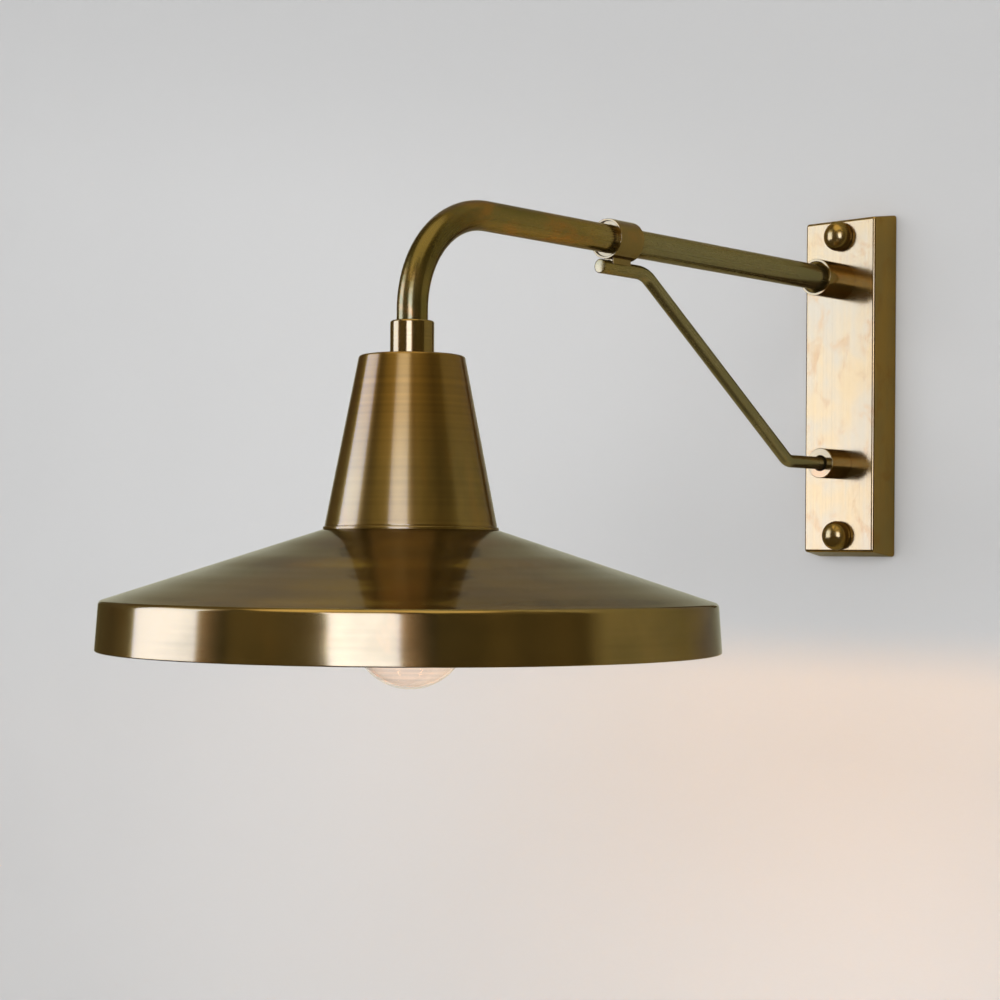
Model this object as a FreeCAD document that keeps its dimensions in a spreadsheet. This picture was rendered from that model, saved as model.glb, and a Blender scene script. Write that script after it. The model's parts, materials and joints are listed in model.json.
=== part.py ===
import FreeCAD, Part
import math
import os
import Sketcher

# A brass wall light: a tall cover plate on the wall, a bent arm with a brace rod, and a flat cone shade.
# Millimetres. +Z is up, the wall is the plane Y = 0 and the light stands out along -Y.
# The origin is the centre of the wall face, and the arm lies in the plane X = 0.

Vector = FreeCAD.Vector

SIZES = {
    # cover plate on the wall
    "cover_width": 59.0,
    "cover_height": 222.0,
    "cover_depth": 21.0,
    "cover_side_draft": 3.1,
    "cover_end_draft": 3.0,
    "cover_wall": 2.5,
    "cover_edge_round": 1.4,
    # crossbar behind the cover
    "bar_width": 26.0,
    "bar_end_gap": 7.0,
    "bar_thickness": 2.0,
    "bar_corner": 4.0,
    "slot_spacing": 88.9,
    "slot_length": 12.0,
    "slot_width": 5.0,
    "cable_hole": 16.0,
    # studs and domed thumb nuts
    "stud_inset": 13.6,
    "stud_diameter": 5.0,
    "stud_hole_gap": 0.3,
    "stud_nut_across": 8.0,
    "stud_nut_thickness": 4.0,
    "nut_washer_diameter": 16.0,
    "nut_washer_thickness": 0.5,
    "thumb_nut_diameter": 19.0,
    "thumb_nut_skirt": 1.5,
    "thumb_nut_bevel": 0.4,
    "crown_diameter": 15.2,
    "crown_rise": 2.8,
    "thumb_nut_bore": 8.6,
    "thread_play": 0.05,
    "flute_radius": 0.45,
    "stud_end_gap": 0.6,
    # arm tube
    "tube_diameter": 16.0,
    "tube_wall": 1.5,
    "arm_inset": 42.8,
    "reach": 413.3,
    "bend_radius": 54.4,
    # sockets on the cover
    "boss_diameter": 23.4,
    "boss_length": 28.5,
    "boss_socket": 22.0,
    "boss_lip": 1.1,
    "mouth_depth": 1.2,
    "boss_neck": 13.0,
    "boss_nut_across": 17.0,
    "boss_nut_thickness": 3.0,
    "boss_washer_diameter": 20.0,
    "washer_thickness": 1.0,
    "wire_bore": 9.0,
    "strut_inset": 60.1,
    "strut_boss_diameter": 19.4,
    "strut_boss_length": 21.7,
    "strut_socket": 14.0,
    "strut_mouth": 10.2,
    "strut_mouth_depth": 1.8,
    "strut_neck": 8.0,
    "strut_nut_across": 13.0,
    "strut_nut_thickness": 4.0,
    "strut_washer_diameter": 15.0,
    "thread_end": 1.0,
    # brace rod and its collar
    "rod_diameter": 8.0,
    "rod_drop": 16.1,
    "rod_front": 264.9,
    "rod_upper_bend": 224.9,
    "rod_lower_bend": 79.1,
    "rod_upper_radius": 20.0,
    "rod_lower_radius": 12.0,
    "rod_end_chamfer": 0.5,
    "collar_front": 259.5,
    "collar_diameter": 22.8,
    "collar_length": 20.5,
    "collar_lip": 1.2,
    "saddle_width": 7.0,
    "saddle_length": 16.0,
    "saddle_wrap": 1.2,
    # joint between arm and shade
    "coupler_diameter": 22.5,
    "coupler_height": 18.0,
    "coupler_rise": 8.0,
    "coupler_socket": 10.0,
    "coupler_round": 1.2,
    "coupler_groove": 0.6,
    "nipple_diameter": 10.0,
    "nipple_bore": 7.2,
    "nipple_reach": 26.0,
    "shade_washer_diameter": 24.0,
    "shade_washer_thickness": 1.2,
    "shade_nut_across": 14.0,
    "shade_nut_thickness": 3.5,
    # spun shade
    "sheet_wall": 1.0,
    "neck_top": 54.0,
    "neck_foot": 88.6,
    "neck_height": 88.5,
    "neck_round": 1.4,
    "foot_bead": 0.5,
    "joint_collar": 6.0,
    "joint_gap": 0.2,
    "rim_top": 312.6,
    "rim_bottom": 316.2,
    "dish_drop": 36.5,
    "rim_height": 24.7,
    "rim_round": 0.8,
    "hem_thickness": 2.4,
    "hem_height": 3.0,
    # lampholder
    "holder_drop": 18.0,
    "holder_diameter": 40.0,
    "holder_wall": 1.2,
    "holder_entry_diameter": 16.0,
    "holder_entry_height": 9.0,
    "holder_cap_height": 18.0,
    "holder_cap_round": 6.0,
    "holder_skirt_height": 42.0,
    "holder_overlap": 4.0,
    "holder_mouth": 31.0,
    "core_recess": 1.0,
    "core_floor": 14.0,
    "core_bore": 28.8,
    "shell_play": 0.35,
    "shell_height": 24.0,
    "contact_drop": 4.3,
    "contact_width": 6.0,
    "contact_thickness": 0.5,
    "contact_gap": 0.3,
    "terminal_block_size": 7.0,
    "terminal_block_height": 6.0,
    "terminal_offset": 9.0,
    "grub_screw_diameter": 3.0,
    # bulb
    "bulb_length": 105.0,
    "bulb_diameter": 60.0,
    "bulb_neck": 25.6,
    "bulb_cap_length": 27.0,
    "glass_wall": 0.8,
    "glass_in_cap": 5.8,
    "cap_thread": 26.2,
    "cap_thread_depth": 0.6,
    "cap_pitch": 3.63,
    "cap_wall": 0.5,
    "cap_flare": 28.8,
    "end_contact_diameter": 9.6,
    "end_contact_height": 1.6,
    "end_glass_height": 3.0,
    "stem_diameter": 7.2,
    "stem_length": 25.0,
    "filament_diameter": 1.8,
    "filament_length": 36.0,
    "filament_circle": 16.0,
    "hub_thickness": 0.8,
    "lead_diameter": 0.8,
    "lead_spacing": 4.0,
    # supply connector and wires
    "block_width": 26.0,
    "block_depth": 11.0,
    "block_height": 16.0,
    "block_centre": 22.0,
    "pole_pitch": 8.0,
    "clamp_diameter": 5.2,
    "clamp_bore": 3.2,
    "clamp_length": 14.0,
    "clamp_screw": 2.5,
    "block_screw": 2.4,
    "earth_screw_height": 22.0,
    "earth_screw_diameter": 4.0,
    "screw_head_height": 2.4,
    "wire_diameter": 2.2,
    "wire_side": 1.5,
    "wire_above": 0.6,
    "wire_below": 1.5,
    "wire_insertion": 5.0,
    "wire_turn": 9.0,
    "wire_bend": 6.5,
    "wire_ease": 6.5,
}

FLUTES = 40
FLUTE_OVERRUN = 3
CAP_THREAD_COUNT = 4
FILAMENTS = 4

doc = FreeCAD.newDocument("wall_light")
sheet = doc.addObject("Spreadsheet::Sheet", "Sizes")
for row, (name, value) in enumerate(SIZES.items(), start=1):
    sheet.set("A%d" % row, name)
    sheet.set("B%d" % row, str(value))
    sheet.setAlias("B%d" % row, name)
doc.recompute()


class Size:
    """A length with its value now and the expression that gives it from the sheet."""

    def __init__(self, value, text):
        self.value = value
        self.text = text

    def combined(self, other, sign, reverse=False):
        first, second = (size(other), self) if reverse else (self, size(other))
        values = {
            "+": lambda p, q: p + q,
            "-": lambda p, q: p - q,
            "*": lambda p, q: p * q,
            "/": lambda p, q: p / q,
        }
        return Size(values[sign](first.value, second.value), "(%s %s %s)" % (first.text, sign, second.text))

    def __add__(self, other):
        return self.combined(other, "+")

    def __radd__(self, other):
        return self.combined(other, "+", True)

    def __sub__(self, other):
        return self.combined(other, "-")

    def __rsub__(self, other):
        return self.combined(other, "-", True)

    def __mul__(self, other):
        return self.combined(other, "*")

    def __rmul__(self, other):
        return self.combined(other, "*", True)

    def __truediv__(self, other):
        return self.combined(other, "/")

    def __rtruediv__(self, other):
        return self.combined(other, "/", True)

    def __neg__(self):
        return 0 - self


def size(number):
    """A plain number as a size without a cell."""
    return number if isinstance(number, Size) else Size(float(number), "%.9g" % number)


class Sheet:
    """Each alias of the sheet as a Size."""

    def __getattr__(self, name):
        return Size(float(sheet.get(name)), "Sizes." + name)


s = Sheet()


# levels and places that several pieces share
cover_front = -s.cover_depth
cover_inside = -(s.cover_depth - s.cover_wall)
bar_front = -s.bar_thickness
bar_length = s.cover_height - s.bar_end_gap * 2
stud_spacing = s.cover_height - s.stud_inset * 2
washer_front = cover_front - s.nut_washer_thickness
boss_front = cover_front - s.boss_length
boss_neck_end = cover_inside + s.washer_thickness + s.boss_nut_thickness + s.thread_end
tube_start = boss_front + s.boss_socket
strut_front = cover_front - s.strut_boss_length
arm_level = s.cover_height / 2 - s.arm_inset
strut_level = s.strut_inset - s.cover_height / 2
rod_level = arm_level - s.rod_drop
collar_centre = -(s.collar_front - s.collar_length / 2)
tube_end = s.coupler_rise - s.coupler_socket
neck_level = s.coupler_rise - s.coupler_height
nipple_foot = neck_level - s.nipple_reach
neck_inside = neck_level - s.sheet_wall
foot_level = neck_level - s.neck_height
rim_level = foot_level - s.dish_drop
rim_foot = rim_level - s.rim_height
holder_top = neck_level - s.holder_drop
cap_shoulder = holder_top - s.holder_entry_height
cap_foot = cap_shoulder - s.holder_cap_height
skirt_foot = cap_foot - s.holder_skirt_height
core_top = cap_foot - s.core_recess
core_ceiling = core_top - s.core_floor
contact_level = core_ceiling - s.contact_drop
bulb_tip = contact_level - s.contact_gap
cap_rim = bulb_tip - s.bulb_cap_length
bulb_bottom = bulb_tip - s.bulb_length
glass_top = cap_rim + s.glass_in_cap
pole_depth = bar_front - s.block_depth / 2
block_top = s.block_centre + s.block_height / 2
block_foot = s.block_centre - s.block_height / 2


def bind(thing, path, length):
    """Tie a property to its expression."""
    thing.setExpression(path, size(length).text)


def new_body(label, x=0, y=0, z=0):
    """An empty sub-part at its place."""
    body = doc.addObject("PartDesign::Body", label)
    body.Label = label
    for axis, length in (("x", x), ("y", y), ("z", z)):
        if isinstance(length, Size):
            bind(body, "Placement.Base." + axis, length)
    return body


def origin_feature(body, role):
    return [part for part in body.Origin.OriginFeatures if part.Role == role][0]


def new_sketch(body, name, role, offset=None):
    """A sketch on one of the body's own origin planes, moved along its normal."""
    sketch = body.newObject("Sketcher::SketchObject", name)
    sketch.AttachmentSupport = [(origin_feature(body, role), "")]
    sketch.MapMode = "FlatFace"
    if offset is not None:
        bind(sketch, "AttachmentOffset.Base.z", offset)
    return sketch


def place_point(sketch, geometry, end, x, y):
    """Hold a point of the sketch at x and y from its origin."""
    for kind, length in (("DistanceX", size(x)), ("DistanceY", size(y))):
        index = sketch.addConstraint(Sketcher.Constraint(kind, -1, 1, geometry, end, length.value))
        if "Sizes" in length.text:
            bind(sketch, "Constraints[%d]" % index, length)


def circle(sketch, x, y, radius):
    radius = size(radius)
    ring = Part.Circle(Vector(size(x).value, size(y).value, 0), Vector(0, 0, 1), radius.value)
    index = sketch.addGeometry(ring)
    place_point(sketch, index, 3, x, y)
    held = sketch.addConstraint(Sketcher.Constraint("Radius", index, radius.value))
    bind(sketch, "Constraints[%d]" % held, radius)


def arc_between(start, end, centre, turn):
    """An arc from start to end about centre. turn is 1 anticlockwise and -1 clockwise."""
    radius = math.hypot(start[0] - centre[0], start[1] - centre[1])
    first = math.atan2(start[1] - centre[1], start[0] - centre[0])
    last = math.atan2(end[1] - centre[1], end[0] - centre[0])
    if turn < 0:
        first, last = last, first
    if last <= first:
        last += 2 * math.pi
    ring = Part.Circle(Vector(centre[0], centre[1], 0), Vector(0, 0, 1), radius)
    return Part.ArcOfCircle(ring, first, last)


def outline(sketch, corners, closed=True):
    """A chain of lines and arcs through corners.

    A corner is (x, y), or (x, y, centre_x, centre_y, turn) where an arc arrives.
    """
    points = [(size(corner[0]), size(corner[1])) for corner in corners]
    ends = []
    first = 0 if closed else 1
    for number in range(first, len(corners)):
        before, after = points[number - 1], points[number]
        corner = corners[number]
        start = (before[0].value, before[1].value)
        end = (after[0].value, after[1].value)
        if len(corner) == 2:
            index = sketch.addGeometry(Part.LineSegment(Vector(*start, 0), Vector(*end, 0)))
            ends.append((index, 1, 2))
            continue
        centre = (size(corner[2]), size(corner[3]))
        turn = corner[4]
        arc = arc_between(start, end, (centre[0].value, centre[1].value), turn)
        index = sketch.addGeometry(arc)
        ends.append((index, 1, 2) if turn > 0 else (index, 2, 1))
        upright = abs(end[1] - start[1]) > abs(end[0] - start[0])
        kind, length = ("DistanceX", centre[0]) if upright else ("DistanceY", centre[1])
        held = sketch.addConstraint(Sketcher.Constraint(kind, -1, 1, index, 3, length.value))
        if "Sizes" in length.text:
            bind(sketch, "Constraints[%d]" % held, length)
    for number, (index, start, end) in enumerate(ends):
        if number or closed:
            before = ends[number - 1]
            sketch.addConstraint(Sketcher.Constraint("Coincident", before[0], before[2], index, start))
        x, y = points[number] if not closed else points[number - 1]
        place_point(sketch, index, start, x, y)
    if not closed:
        place_point(sketch, ends[-1][0], ends[-1][2], *points[-1])


def rectangle(sketch, left, right, low, high):
    outline(sketch, [(left, low), (right, low), (right, high), (left, high)])


def hexagon(sketch, x, y, across):
    """A hexagon with flats left and right."""
    reach = across / math.sqrt(3)
    corners = []
    for corner in range(6):
        angle = math.radians(60 * corner + 30)
        corners.append((x + reach * math.cos(angle), y + reach * math.sin(angle)))
    outline(sketch, corners)


def upright_slot(sketch, x, y, length, width):
    """A slot with round ends, its long side up."""
    half, end = width / 2, length / 2 - width / 2
    outline(
        sketch,
        [
            (x - half, y - end),
            (x + half, y - end, x, y - end, 1),
            (x + half, y + end),
            (x - half, y + end, x, y + end, 1),
        ],
    )


def turned(body, name, role, axis, corners):
    """A solid of revolution from an outline beside its axis."""
    sketch = new_sketch(body, name + "_outline", role)
    outline(sketch, corners)
    solid = body.newObject("PartDesign::Revolution", name)
    solid.Profile = sketch
    solid.ReferenceAxis = (sketch, [axis])
    solid.Angle = 360
    return solid


def turned_upright(label, corners, y=None):
    """A body turned about a vertical axis. Corners are radius and height."""
    body = new_body(label, y=-s.reach if y is None else y)
    turned(body, label + "_turned", "XZ_Plane", "V_Axis", corners)
    return body


def turned_outward(label, z, corners):
    """A body turned about an axis square to the wall. Corners are Y and radius."""
    body = new_body(label, z=z)
    turned(body, label + "_turned", "YZ_Plane", "H_Axis", corners)
    return body


def pad(body, name, sketch, length, both_ways=False):
    solid = body.newObject("PartDesign::Pad", name)
    solid.Profile = sketch
    solid.Midplane = both_ways
    bind(solid, "Length", length)
    return solid


def pocket(body, name, sketch, length, both_ways=False, reversed_way=False):
    """A cut, made with the solid already computed so that a cut into thin air is noticed."""
    doc.recompute()
    before = body.Shape.Volume
    cut = body.newObject("PartDesign::Pocket", name)
    cut.Profile = sketch
    cut.Midplane = both_ways
    cut.Reversed = reversed_way
    bind(cut, "Length", length)
    doc.recompute()
    if body.Shape.Volume >= before - 1e-6:
        raise ValueError("%s of %s cuts nothing" % (name, body.Label))
    return cut


def turned_cut(body, name, sketch, axis, angle):
    """A cut made by turning an outline about an axis of its sketch through an angle given as text."""
    doc.recompute()
    before = body.Shape.Volume
    cut = body.newObject("PartDesign::Groove", name)
    cut.Profile = sketch
    cut.ReferenceAxis = (sketch, [axis])
    cut.setExpression("Angle", angle)
    doc.recompute()
    if body.Shape.Volume >= before - 1e-6:
        raise ValueError("%s of %s cuts nothing" % (name, body.Label))
    return cut


def plate(label, draw, depth_from, depth_to):
    """A flat piece parallel to the wall, drawn as X and Z, between two Y places."""
    body = new_body(label)
    sketch = new_sketch(body, label + "_outline", "XZ_Plane", -depth_from)
    draw(sketch)
    pad(body, label + "_pad", sketch, depth_from - depth_to)
    return body


def washer(label, z, depth_from, thickness, outside, inside):
    outer, inner = size(outside) / 2, size(inside) / 2
    back, front = depth_from, depth_from - thickness
    return turned_outward(label, z, [(back, inner), (back, outer), (front, outer), (front, inner)])


def hex_nut(label, places, depth_from, depth_to, across, bore):
    """Hexagon nuts parallel to the wall, one for each height."""

    def draw(sketch):
        for z in places:
            hexagon(sketch, size(0), z, across)
            circle(sketch, 0, z, bore / 2)

    return plate(label, draw, depth_from, depth_to)


def round_bars(label, places, bottom, top, diameter, y=None):
    """Upright round bars, one for each X and Y from the body's axis."""
    body = new_body(label, y=-s.reach if y is None else y)
    sketch = new_sketch(body, label + "_outline", "XY_Plane", bottom)
    for x, depth in places:
        circle(sketch, x, depth, diameter / 2)
    pad(body, label + "_pad", sketch, top - bottom)
    return body


def make_wall_bracket():
    half_width, half_length = s.bar_width / 2, bar_length / 2
    corner = s.bar_corner

    def draw(sketch):
        inner_x, inner_z = half_width - corner, half_length - corner
        outline(
            sketch,
            [
                (-inner_x, -half_length, -inner_x, -inner_z, 1),
                (inner_x, -half_length),
                (half_width, -inner_z, inner_x, -inner_z, 1),
                (half_width, inner_z),
                (inner_x, half_length, inner_x, inner_z, 1),
                (-inner_x, half_length),
                (-half_width, inner_z, -inner_x, inner_z, 1),
                (-half_width, -inner_z),
            ],
        )
        for side in (-1, 1):
            circle(sketch, 0, side * stud_spacing / 2, s.stud_diameter / 2)
            upright_slot(sketch, size(0), side * s.slot_spacing / 2, s.slot_length, s.slot_width)
        circle(sketch, 0, 0, s.cable_hole / 2)
        circle(sketch, s.pole_pitch / 2, s.block_centre, s.block_screw / 2)
        circle(sketch, 0, -s.earth_screw_height, s.earth_screw_diameter / 2)

    plate("wall_bracket", draw, size(0), bar_front)


def make_studs():
    stud_front = washer_front - s.thumb_nut_bore + s.stud_end_gap

    def draw(sketch):
        for side in (-1, 1):
            circle(sketch, 0, side * stud_spacing / 2, s.stud_diameter / 2)

    plate("cover_studs", draw, size(0), stud_front)
    places = [side * stud_spacing / 2 for side in (-1, 1)]
    nut_front = bar_front - s.stud_nut_thickness
    hex_nut("stud_lock_nuts", places, bar_front, nut_front, s.stud_nut_across, s.stud_diameter)


def make_thumb_nut(label, side):
    """A ball-shaped nut with a fluted flank and a flatter crown, blind bored from its flat side."""
    radius, crown, rise = s.thumb_nut_diameter / 2, s.crown_diameter / 2, s.crown_rise
    flank = Size(
        math.sqrt(radius.value**2 - crown.value**2), "sqrt(%s ^ 2 - %s ^ 2)" % (radius.text, crown.text)
    )
    ball = (crown * crown + rise * rise) / (2 * rise)
    base = washer_front
    waist = base - s.thumb_nut_skirt
    shoulder = waist - flank
    peak = shoulder - rise
    bore = s.stud_diameter / 2 + s.thread_play
    bevel = s.thumb_nut_bevel
    body = turned_outward(
        label,
        side * stud_spacing / 2,
        [
            (base, bore),
            (base, radius - bevel),
            (base - bevel, radius),
            (waist, radius),
            (shoulder, crown, waist, 0, 1),
            (peak, 0, peak + ball, 0, 1),
            (base - s.thumb_nut_bore, 0),
            (base - s.thumb_nut_bore, bore),
        ],
    )
    flute = new_sketch(body, label + "_flute_outline", "XZ_Plane", -waist)
    circle(flute, 0, radius + s.flute_radius / 4, s.flute_radius)
    sweep = "acos(%s / %s) + %d deg" % (crown.text, radius.text, FLUTE_OVERRUN)
    cut = turned_cut(body, label + "_flute", flute, "H_Axis", sweep)
    ring = body.newObject("PartDesign::PolarPattern", label + "_flutes")
    ring.Originals = [cut]
    ring.Axis = (origin_feature(body, "Y_Axis"), [""])
    ring.Angle = 360
    ring.Occurrences = FLUTES
    body.Tip = ring


def make_back_plate():
    """A hollow tapered cover, open to the wall, bored for the two sockets and the two studs."""
    body = new_body("back_plate")
    half_width, half_height = s.cover_width / 2, s.cover_height / 2

    def level(name, width, height, depth):
        sketch = new_sketch(body, name, "XZ_Plane", depth)
        rectangle(sketch, -width, width, -height, height)
        return sketch

    def loft(kind, name, first, second):
        solid = body.newObject("PartDesign::" + kind, name)
        solid.Profile = first
        solid.Sections = [second]
        solid.Ruled = True
        return solid

    wall = s.cover_wall
    inside_share = (s.cover_depth - wall) / s.cover_depth
    inner_side, inner_end = s.cover_side_draft * inside_share, s.cover_end_draft * inside_share
    front_width, front_height = half_width - s.cover_side_draft, half_height - s.cover_end_draft
    back = level("cover_back", half_width, half_height, size(0))
    front = level("cover_face", front_width, front_height, s.cover_depth)
    loft("AdditiveLoft", "cover_block", back, front)
    doc.recompute()
    block = body.Shape
    rounded = []
    for number, edge in enumerate(block.Edges, start=1):
        box = edge.BoundBox
        if box.YMin < -0.5 * s.cover_depth.value:
            rounded.append("Edge%d" % number)
    edges = body.newObject("PartDesign::Fillet", "cover_rounds")
    edges.Base = (body.getObject("cover_block"), rounded)
    bind(edges, "Radius", s.cover_edge_round)
    hollow_back = level("hollow_back", half_width - wall, half_height - wall, size(0))
    hollow_front = level(
        "hollow_face", half_width - inner_side - wall, half_height - inner_end - wall, s.cover_depth - wall
    )
    loft("SubtractiveLoft", "cover_hollow", hollow_back, hollow_front)
    holes = new_sketch(body, "cover_holes_outline", "XZ_Plane", s.cover_depth)
    circle(holes, 0, arm_level, s.boss_neck / 2)
    circle(holes, 0, strut_level, s.strut_neck / 2)
    for side in (-1, 1):
        circle(holes, 0, side * stud_spacing / 2, s.stud_diameter / 2 + s.stud_hole_gap)
    pocket(body, "cover_holes", holes, s.cover_wall * 2)


def make_arm_boss():
    """A turned socket: the tube sits deep in it, and a step in its mouth leaves a groove round the tube."""
    radius, bore, seat = s.boss_diameter / 2, s.wire_bore / 2, s.tube_diameter / 2
    neck = s.boss_neck / 2
    turned_outward(
        "arm_boss",
        arm_level,
        [
            (boss_neck_end, bore),
            (boss_neck_end, neck),
            (cover_front, neck),
            (cover_front, radius),
            (boss_front, radius),
            (boss_front, radius - s.boss_lip),
            (boss_front + s.mouth_depth, radius - s.boss_lip),
            (boss_front + s.mouth_depth, seat),
            (tube_start, seat),
            (tube_start, bore),
        ],
    )
    washer(
        "arm_boss_washer",
        arm_level,
        cover_inside + s.washer_thickness,
        s.washer_thickness,
        s.boss_washer_diameter,
        s.boss_neck,
    )
    nut_back = cover_inside + s.washer_thickness + s.boss_nut_thickness
    nut_front = cover_inside + s.washer_thickness
    hex_nut("arm_boss_nut", [arm_level], nut_back, nut_front, s.boss_nut_across, s.boss_neck)


def make_strut_boss():
    radius, seat, neck = s.strut_boss_diameter / 2, s.rod_diameter / 2, s.strut_neck / 2
    seat_end = strut_front + s.strut_socket
    neck_end = cover_inside + s.washer_thickness + s.strut_nut_thickness + s.thread_end
    turned_outward(
        "strut_boss",
        strut_level,
        [
            (neck_end, 0),
            (neck_end, neck),
            (cover_front, neck),
            (cover_front, radius),
            (strut_front, radius),
            (strut_front, s.strut_mouth / 2),
            (strut_front + s.strut_mouth_depth, seat),
            (seat_end, seat),
            (seat_end, 0),
        ],
    )
    washer(
        "strut_boss_washer",
        strut_level,
        cover_inside + s.washer_thickness,
        s.washer_thickness,
        s.strut_washer_diameter,
        s.strut_neck,
    )
    nut_back = cover_inside + s.washer_thickness + s.strut_nut_thickness
    nut_front = cover_inside + s.washer_thickness
    hex_nut("strut_boss_nut", [strut_level], nut_back, nut_front, s.strut_nut_across, s.strut_neck)


def swept(body, name, path, profile):
    tube = body.newObject("PartDesign::AdditivePipe", name)
    tube.Profile = profile
    tube.Spine = (path, ["Edge%d" % (number + 1) for number in range(path.GeometryCount)])
    return tube


def make_arm_tube():
    """One tube: straight out from the wall, a quarter bend, and down into the coupler."""
    body = new_body("arm_tube")
    path = new_sketch(body, "tube_path", "YZ_Plane")
    bend_start = -(s.reach - s.bend_radius)
    outline(
        path,
        [
            (tube_start, arm_level),
            (bend_start, arm_level),
            (-s.reach, arm_level - s.bend_radius, bend_start, arm_level - s.bend_radius, 1),
            (-s.reach, tube_end),
        ],
        closed=False,
    )
    ring = new_sketch(body, "tube_ring", "XZ_Plane", -tube_start)
    circle(ring, 0, arm_level, s.tube_diameter / 2)
    circle(ring, 0, arm_level, s.tube_diameter / 2 - s.tube_wall)
    swept(body, "tube_sweep", path, ring)


def turn_direction(start, middle, end):
    """The unit vectors of two runs that meet at middle, as plain numbers."""
    first = (middle[0].value - start[0].value, middle[1].value - start[1].value)
    second = (end[0].value - middle[0].value, end[1].value - middle[1].value)
    lengths = (math.hypot(*first), math.hypot(*second))
    return [(first[0] / lengths[0], first[1] / lengths[0]), (second[0] / lengths[1], second[1] / lengths[1])]


def make_strut_rod():
    """A round rod with two bends: level under the collar, sloping to the wall, level into its socket."""
    body = new_body("strut_rod")
    path = new_sketch(body, "rod_path", "YZ_Plane")
    upper = (-s.rod_upper_bend, rod_level)
    lower = (-s.rod_lower_bend, strut_level)
    run, fall = lower[0] - upper[0], upper[1] - lower[1]
    # half of the turn's tangent, from the slope of the inclined run
    slope_length = Size(
        math.hypot(run.value, fall.value), "sqrt(%s ^ 2 + %s ^ 2)" % (run.text, fall.text)
    )
    half_tangent = fall / (run + slope_length)
    step = (run / slope_length, fall / slope_length)
    upper_cut, lower_cut = s.rod_upper_radius * half_tangent, s.rod_lower_radius * half_tangent
    outline(
        path,
        [
            (-s.rod_front, rod_level),
            (upper[0] - upper_cut, rod_level),
            (
                upper[0] + upper_cut * step[0],
                upper[1] - upper_cut * step[1],
                upper[0] - upper_cut,
                rod_level - s.rod_upper_radius,
                -1,
            ),
            (lower[0] - lower_cut * step[0], lower[1] + lower_cut * step[1]),
            (
                lower[0] + lower_cut,
                strut_level,
                lower[0] + lower_cut,
                strut_level + s.rod_lower_radius,
                1,
            ),
            (strut_front + s.strut_socket, strut_level),
        ],
        closed=False,
    )
    section = new_sketch(body, "rod_section", "XZ_Plane", s.rod_front)
    circle(section, 0, rod_level, s.rod_diameter / 2)
    swept(body, "rod_sweep", path, section)
    doc.recompute()
    end_edge = [
        "Edge%d" % number
        for number, edge in enumerate(body.Shape.Edges, start=1)
        if edge.BoundBox.YMax < -s.rod_front.value + 0.01
    ]
    bevel = body.newObject("PartDesign::Chamfer", "rod_end_bevel")
    bevel.Base = (body.getObject("rod_sweep"), end_edge)
    bind(bevel, "Size", s.rod_end_chamfer)


def make_strut_collar():
    """A ring on the arm with a saddle that sits on the brace rod."""
    radius, seat = s.collar_diameter / 2, s.tube_diameter / 2
    back, front = -(s.collar_front - s.collar_length), -s.collar_front
    mouth = radius - s.collar_lip
    body = turned_outward(
        "strut_collar",
        arm_level,
        [
            (back, mouth),
            (back, radius),
            (front, radius),
            (front, mouth),
            (front + s.mouth_depth, mouth),
            (front + s.mouth_depth, seat),
            (back - s.mouth_depth, seat),
            (back - s.mouth_depth, mouth),
        ],
    )
    saddle = new_sketch(body, "saddle_outline", "XZ_Plane", -collar_centre)
    low = -s.rod_drop + s.saddle_wrap
    rectangle(saddle, -s.saddle_width / 2, s.saddle_width / 2, low, -(seat + radius) / 2)
    pad(body, "saddle", saddle, s.saddle_length, both_ways=True)
    groove = new_sketch(body, "saddle_groove_outline", "XZ_Plane", -collar_centre)
    circle(groove, 0, -s.rod_drop, s.rod_diameter / 2)
    pocket(body, "saddle_groove", groove, s.collar_length * 2, both_ways=True)


def make_shade_coupler():
    """A turned sleeve: the tube's end sits in its top and the threaded nipple in its foot."""
    radius, seat, thread = s.coupler_diameter / 2, s.tube_diameter / 2, s.nipple_diameter / 2
    corner, top = s.coupler_round, s.coupler_rise
    turned_upright(
        "shade_coupler",
        [
            (thread, neck_level),
            (radius, neck_level),
            (radius, top - corner),
            (radius - corner, top, radius - corner, top - corner, 1),
            (seat + s.coupler_groove, top),
            (seat + s.coupler_groove, top - corner),
            (seat, top - corner),
            (seat, tube_end),
            (thread, tube_end),
        ],
    )


def make_nipple_fixings():
    """The threaded nipple that hangs shade and lampholder from the coupler, with its washer and nut."""
    thread = s.nipple_diameter / 2
    turned_upright(
        "threaded_nipple",
        [
            (s.nipple_bore / 2, nipple_foot),
            (thread, nipple_foot),
            (thread, tube_end),
            (s.nipple_bore / 2, tube_end),
        ],
    )
    washer_foot = neck_inside - s.shade_washer_thickness
    turned_upright(
        "shade_washer",
        [
            (thread, washer_foot),
            (s.shade_washer_diameter / 2, washer_foot),
            (s.shade_washer_diameter / 2, neck_inside),
            (thread, neck_inside),
        ],
    )
    nut = new_body("shade_lock_nut", y=-s.reach)
    sketch = new_sketch(nut, "shade_lock_nut_outline", "XY_Plane", washer_foot - s.shade_nut_thickness)
    hexagon(sketch, size(0), size(0), s.shade_nut_across)
    circle(sketch, 0, 0, thread)
    pad(nut, "shade_lock_nut_pad", sketch, s.shade_nut_thickness)


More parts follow.
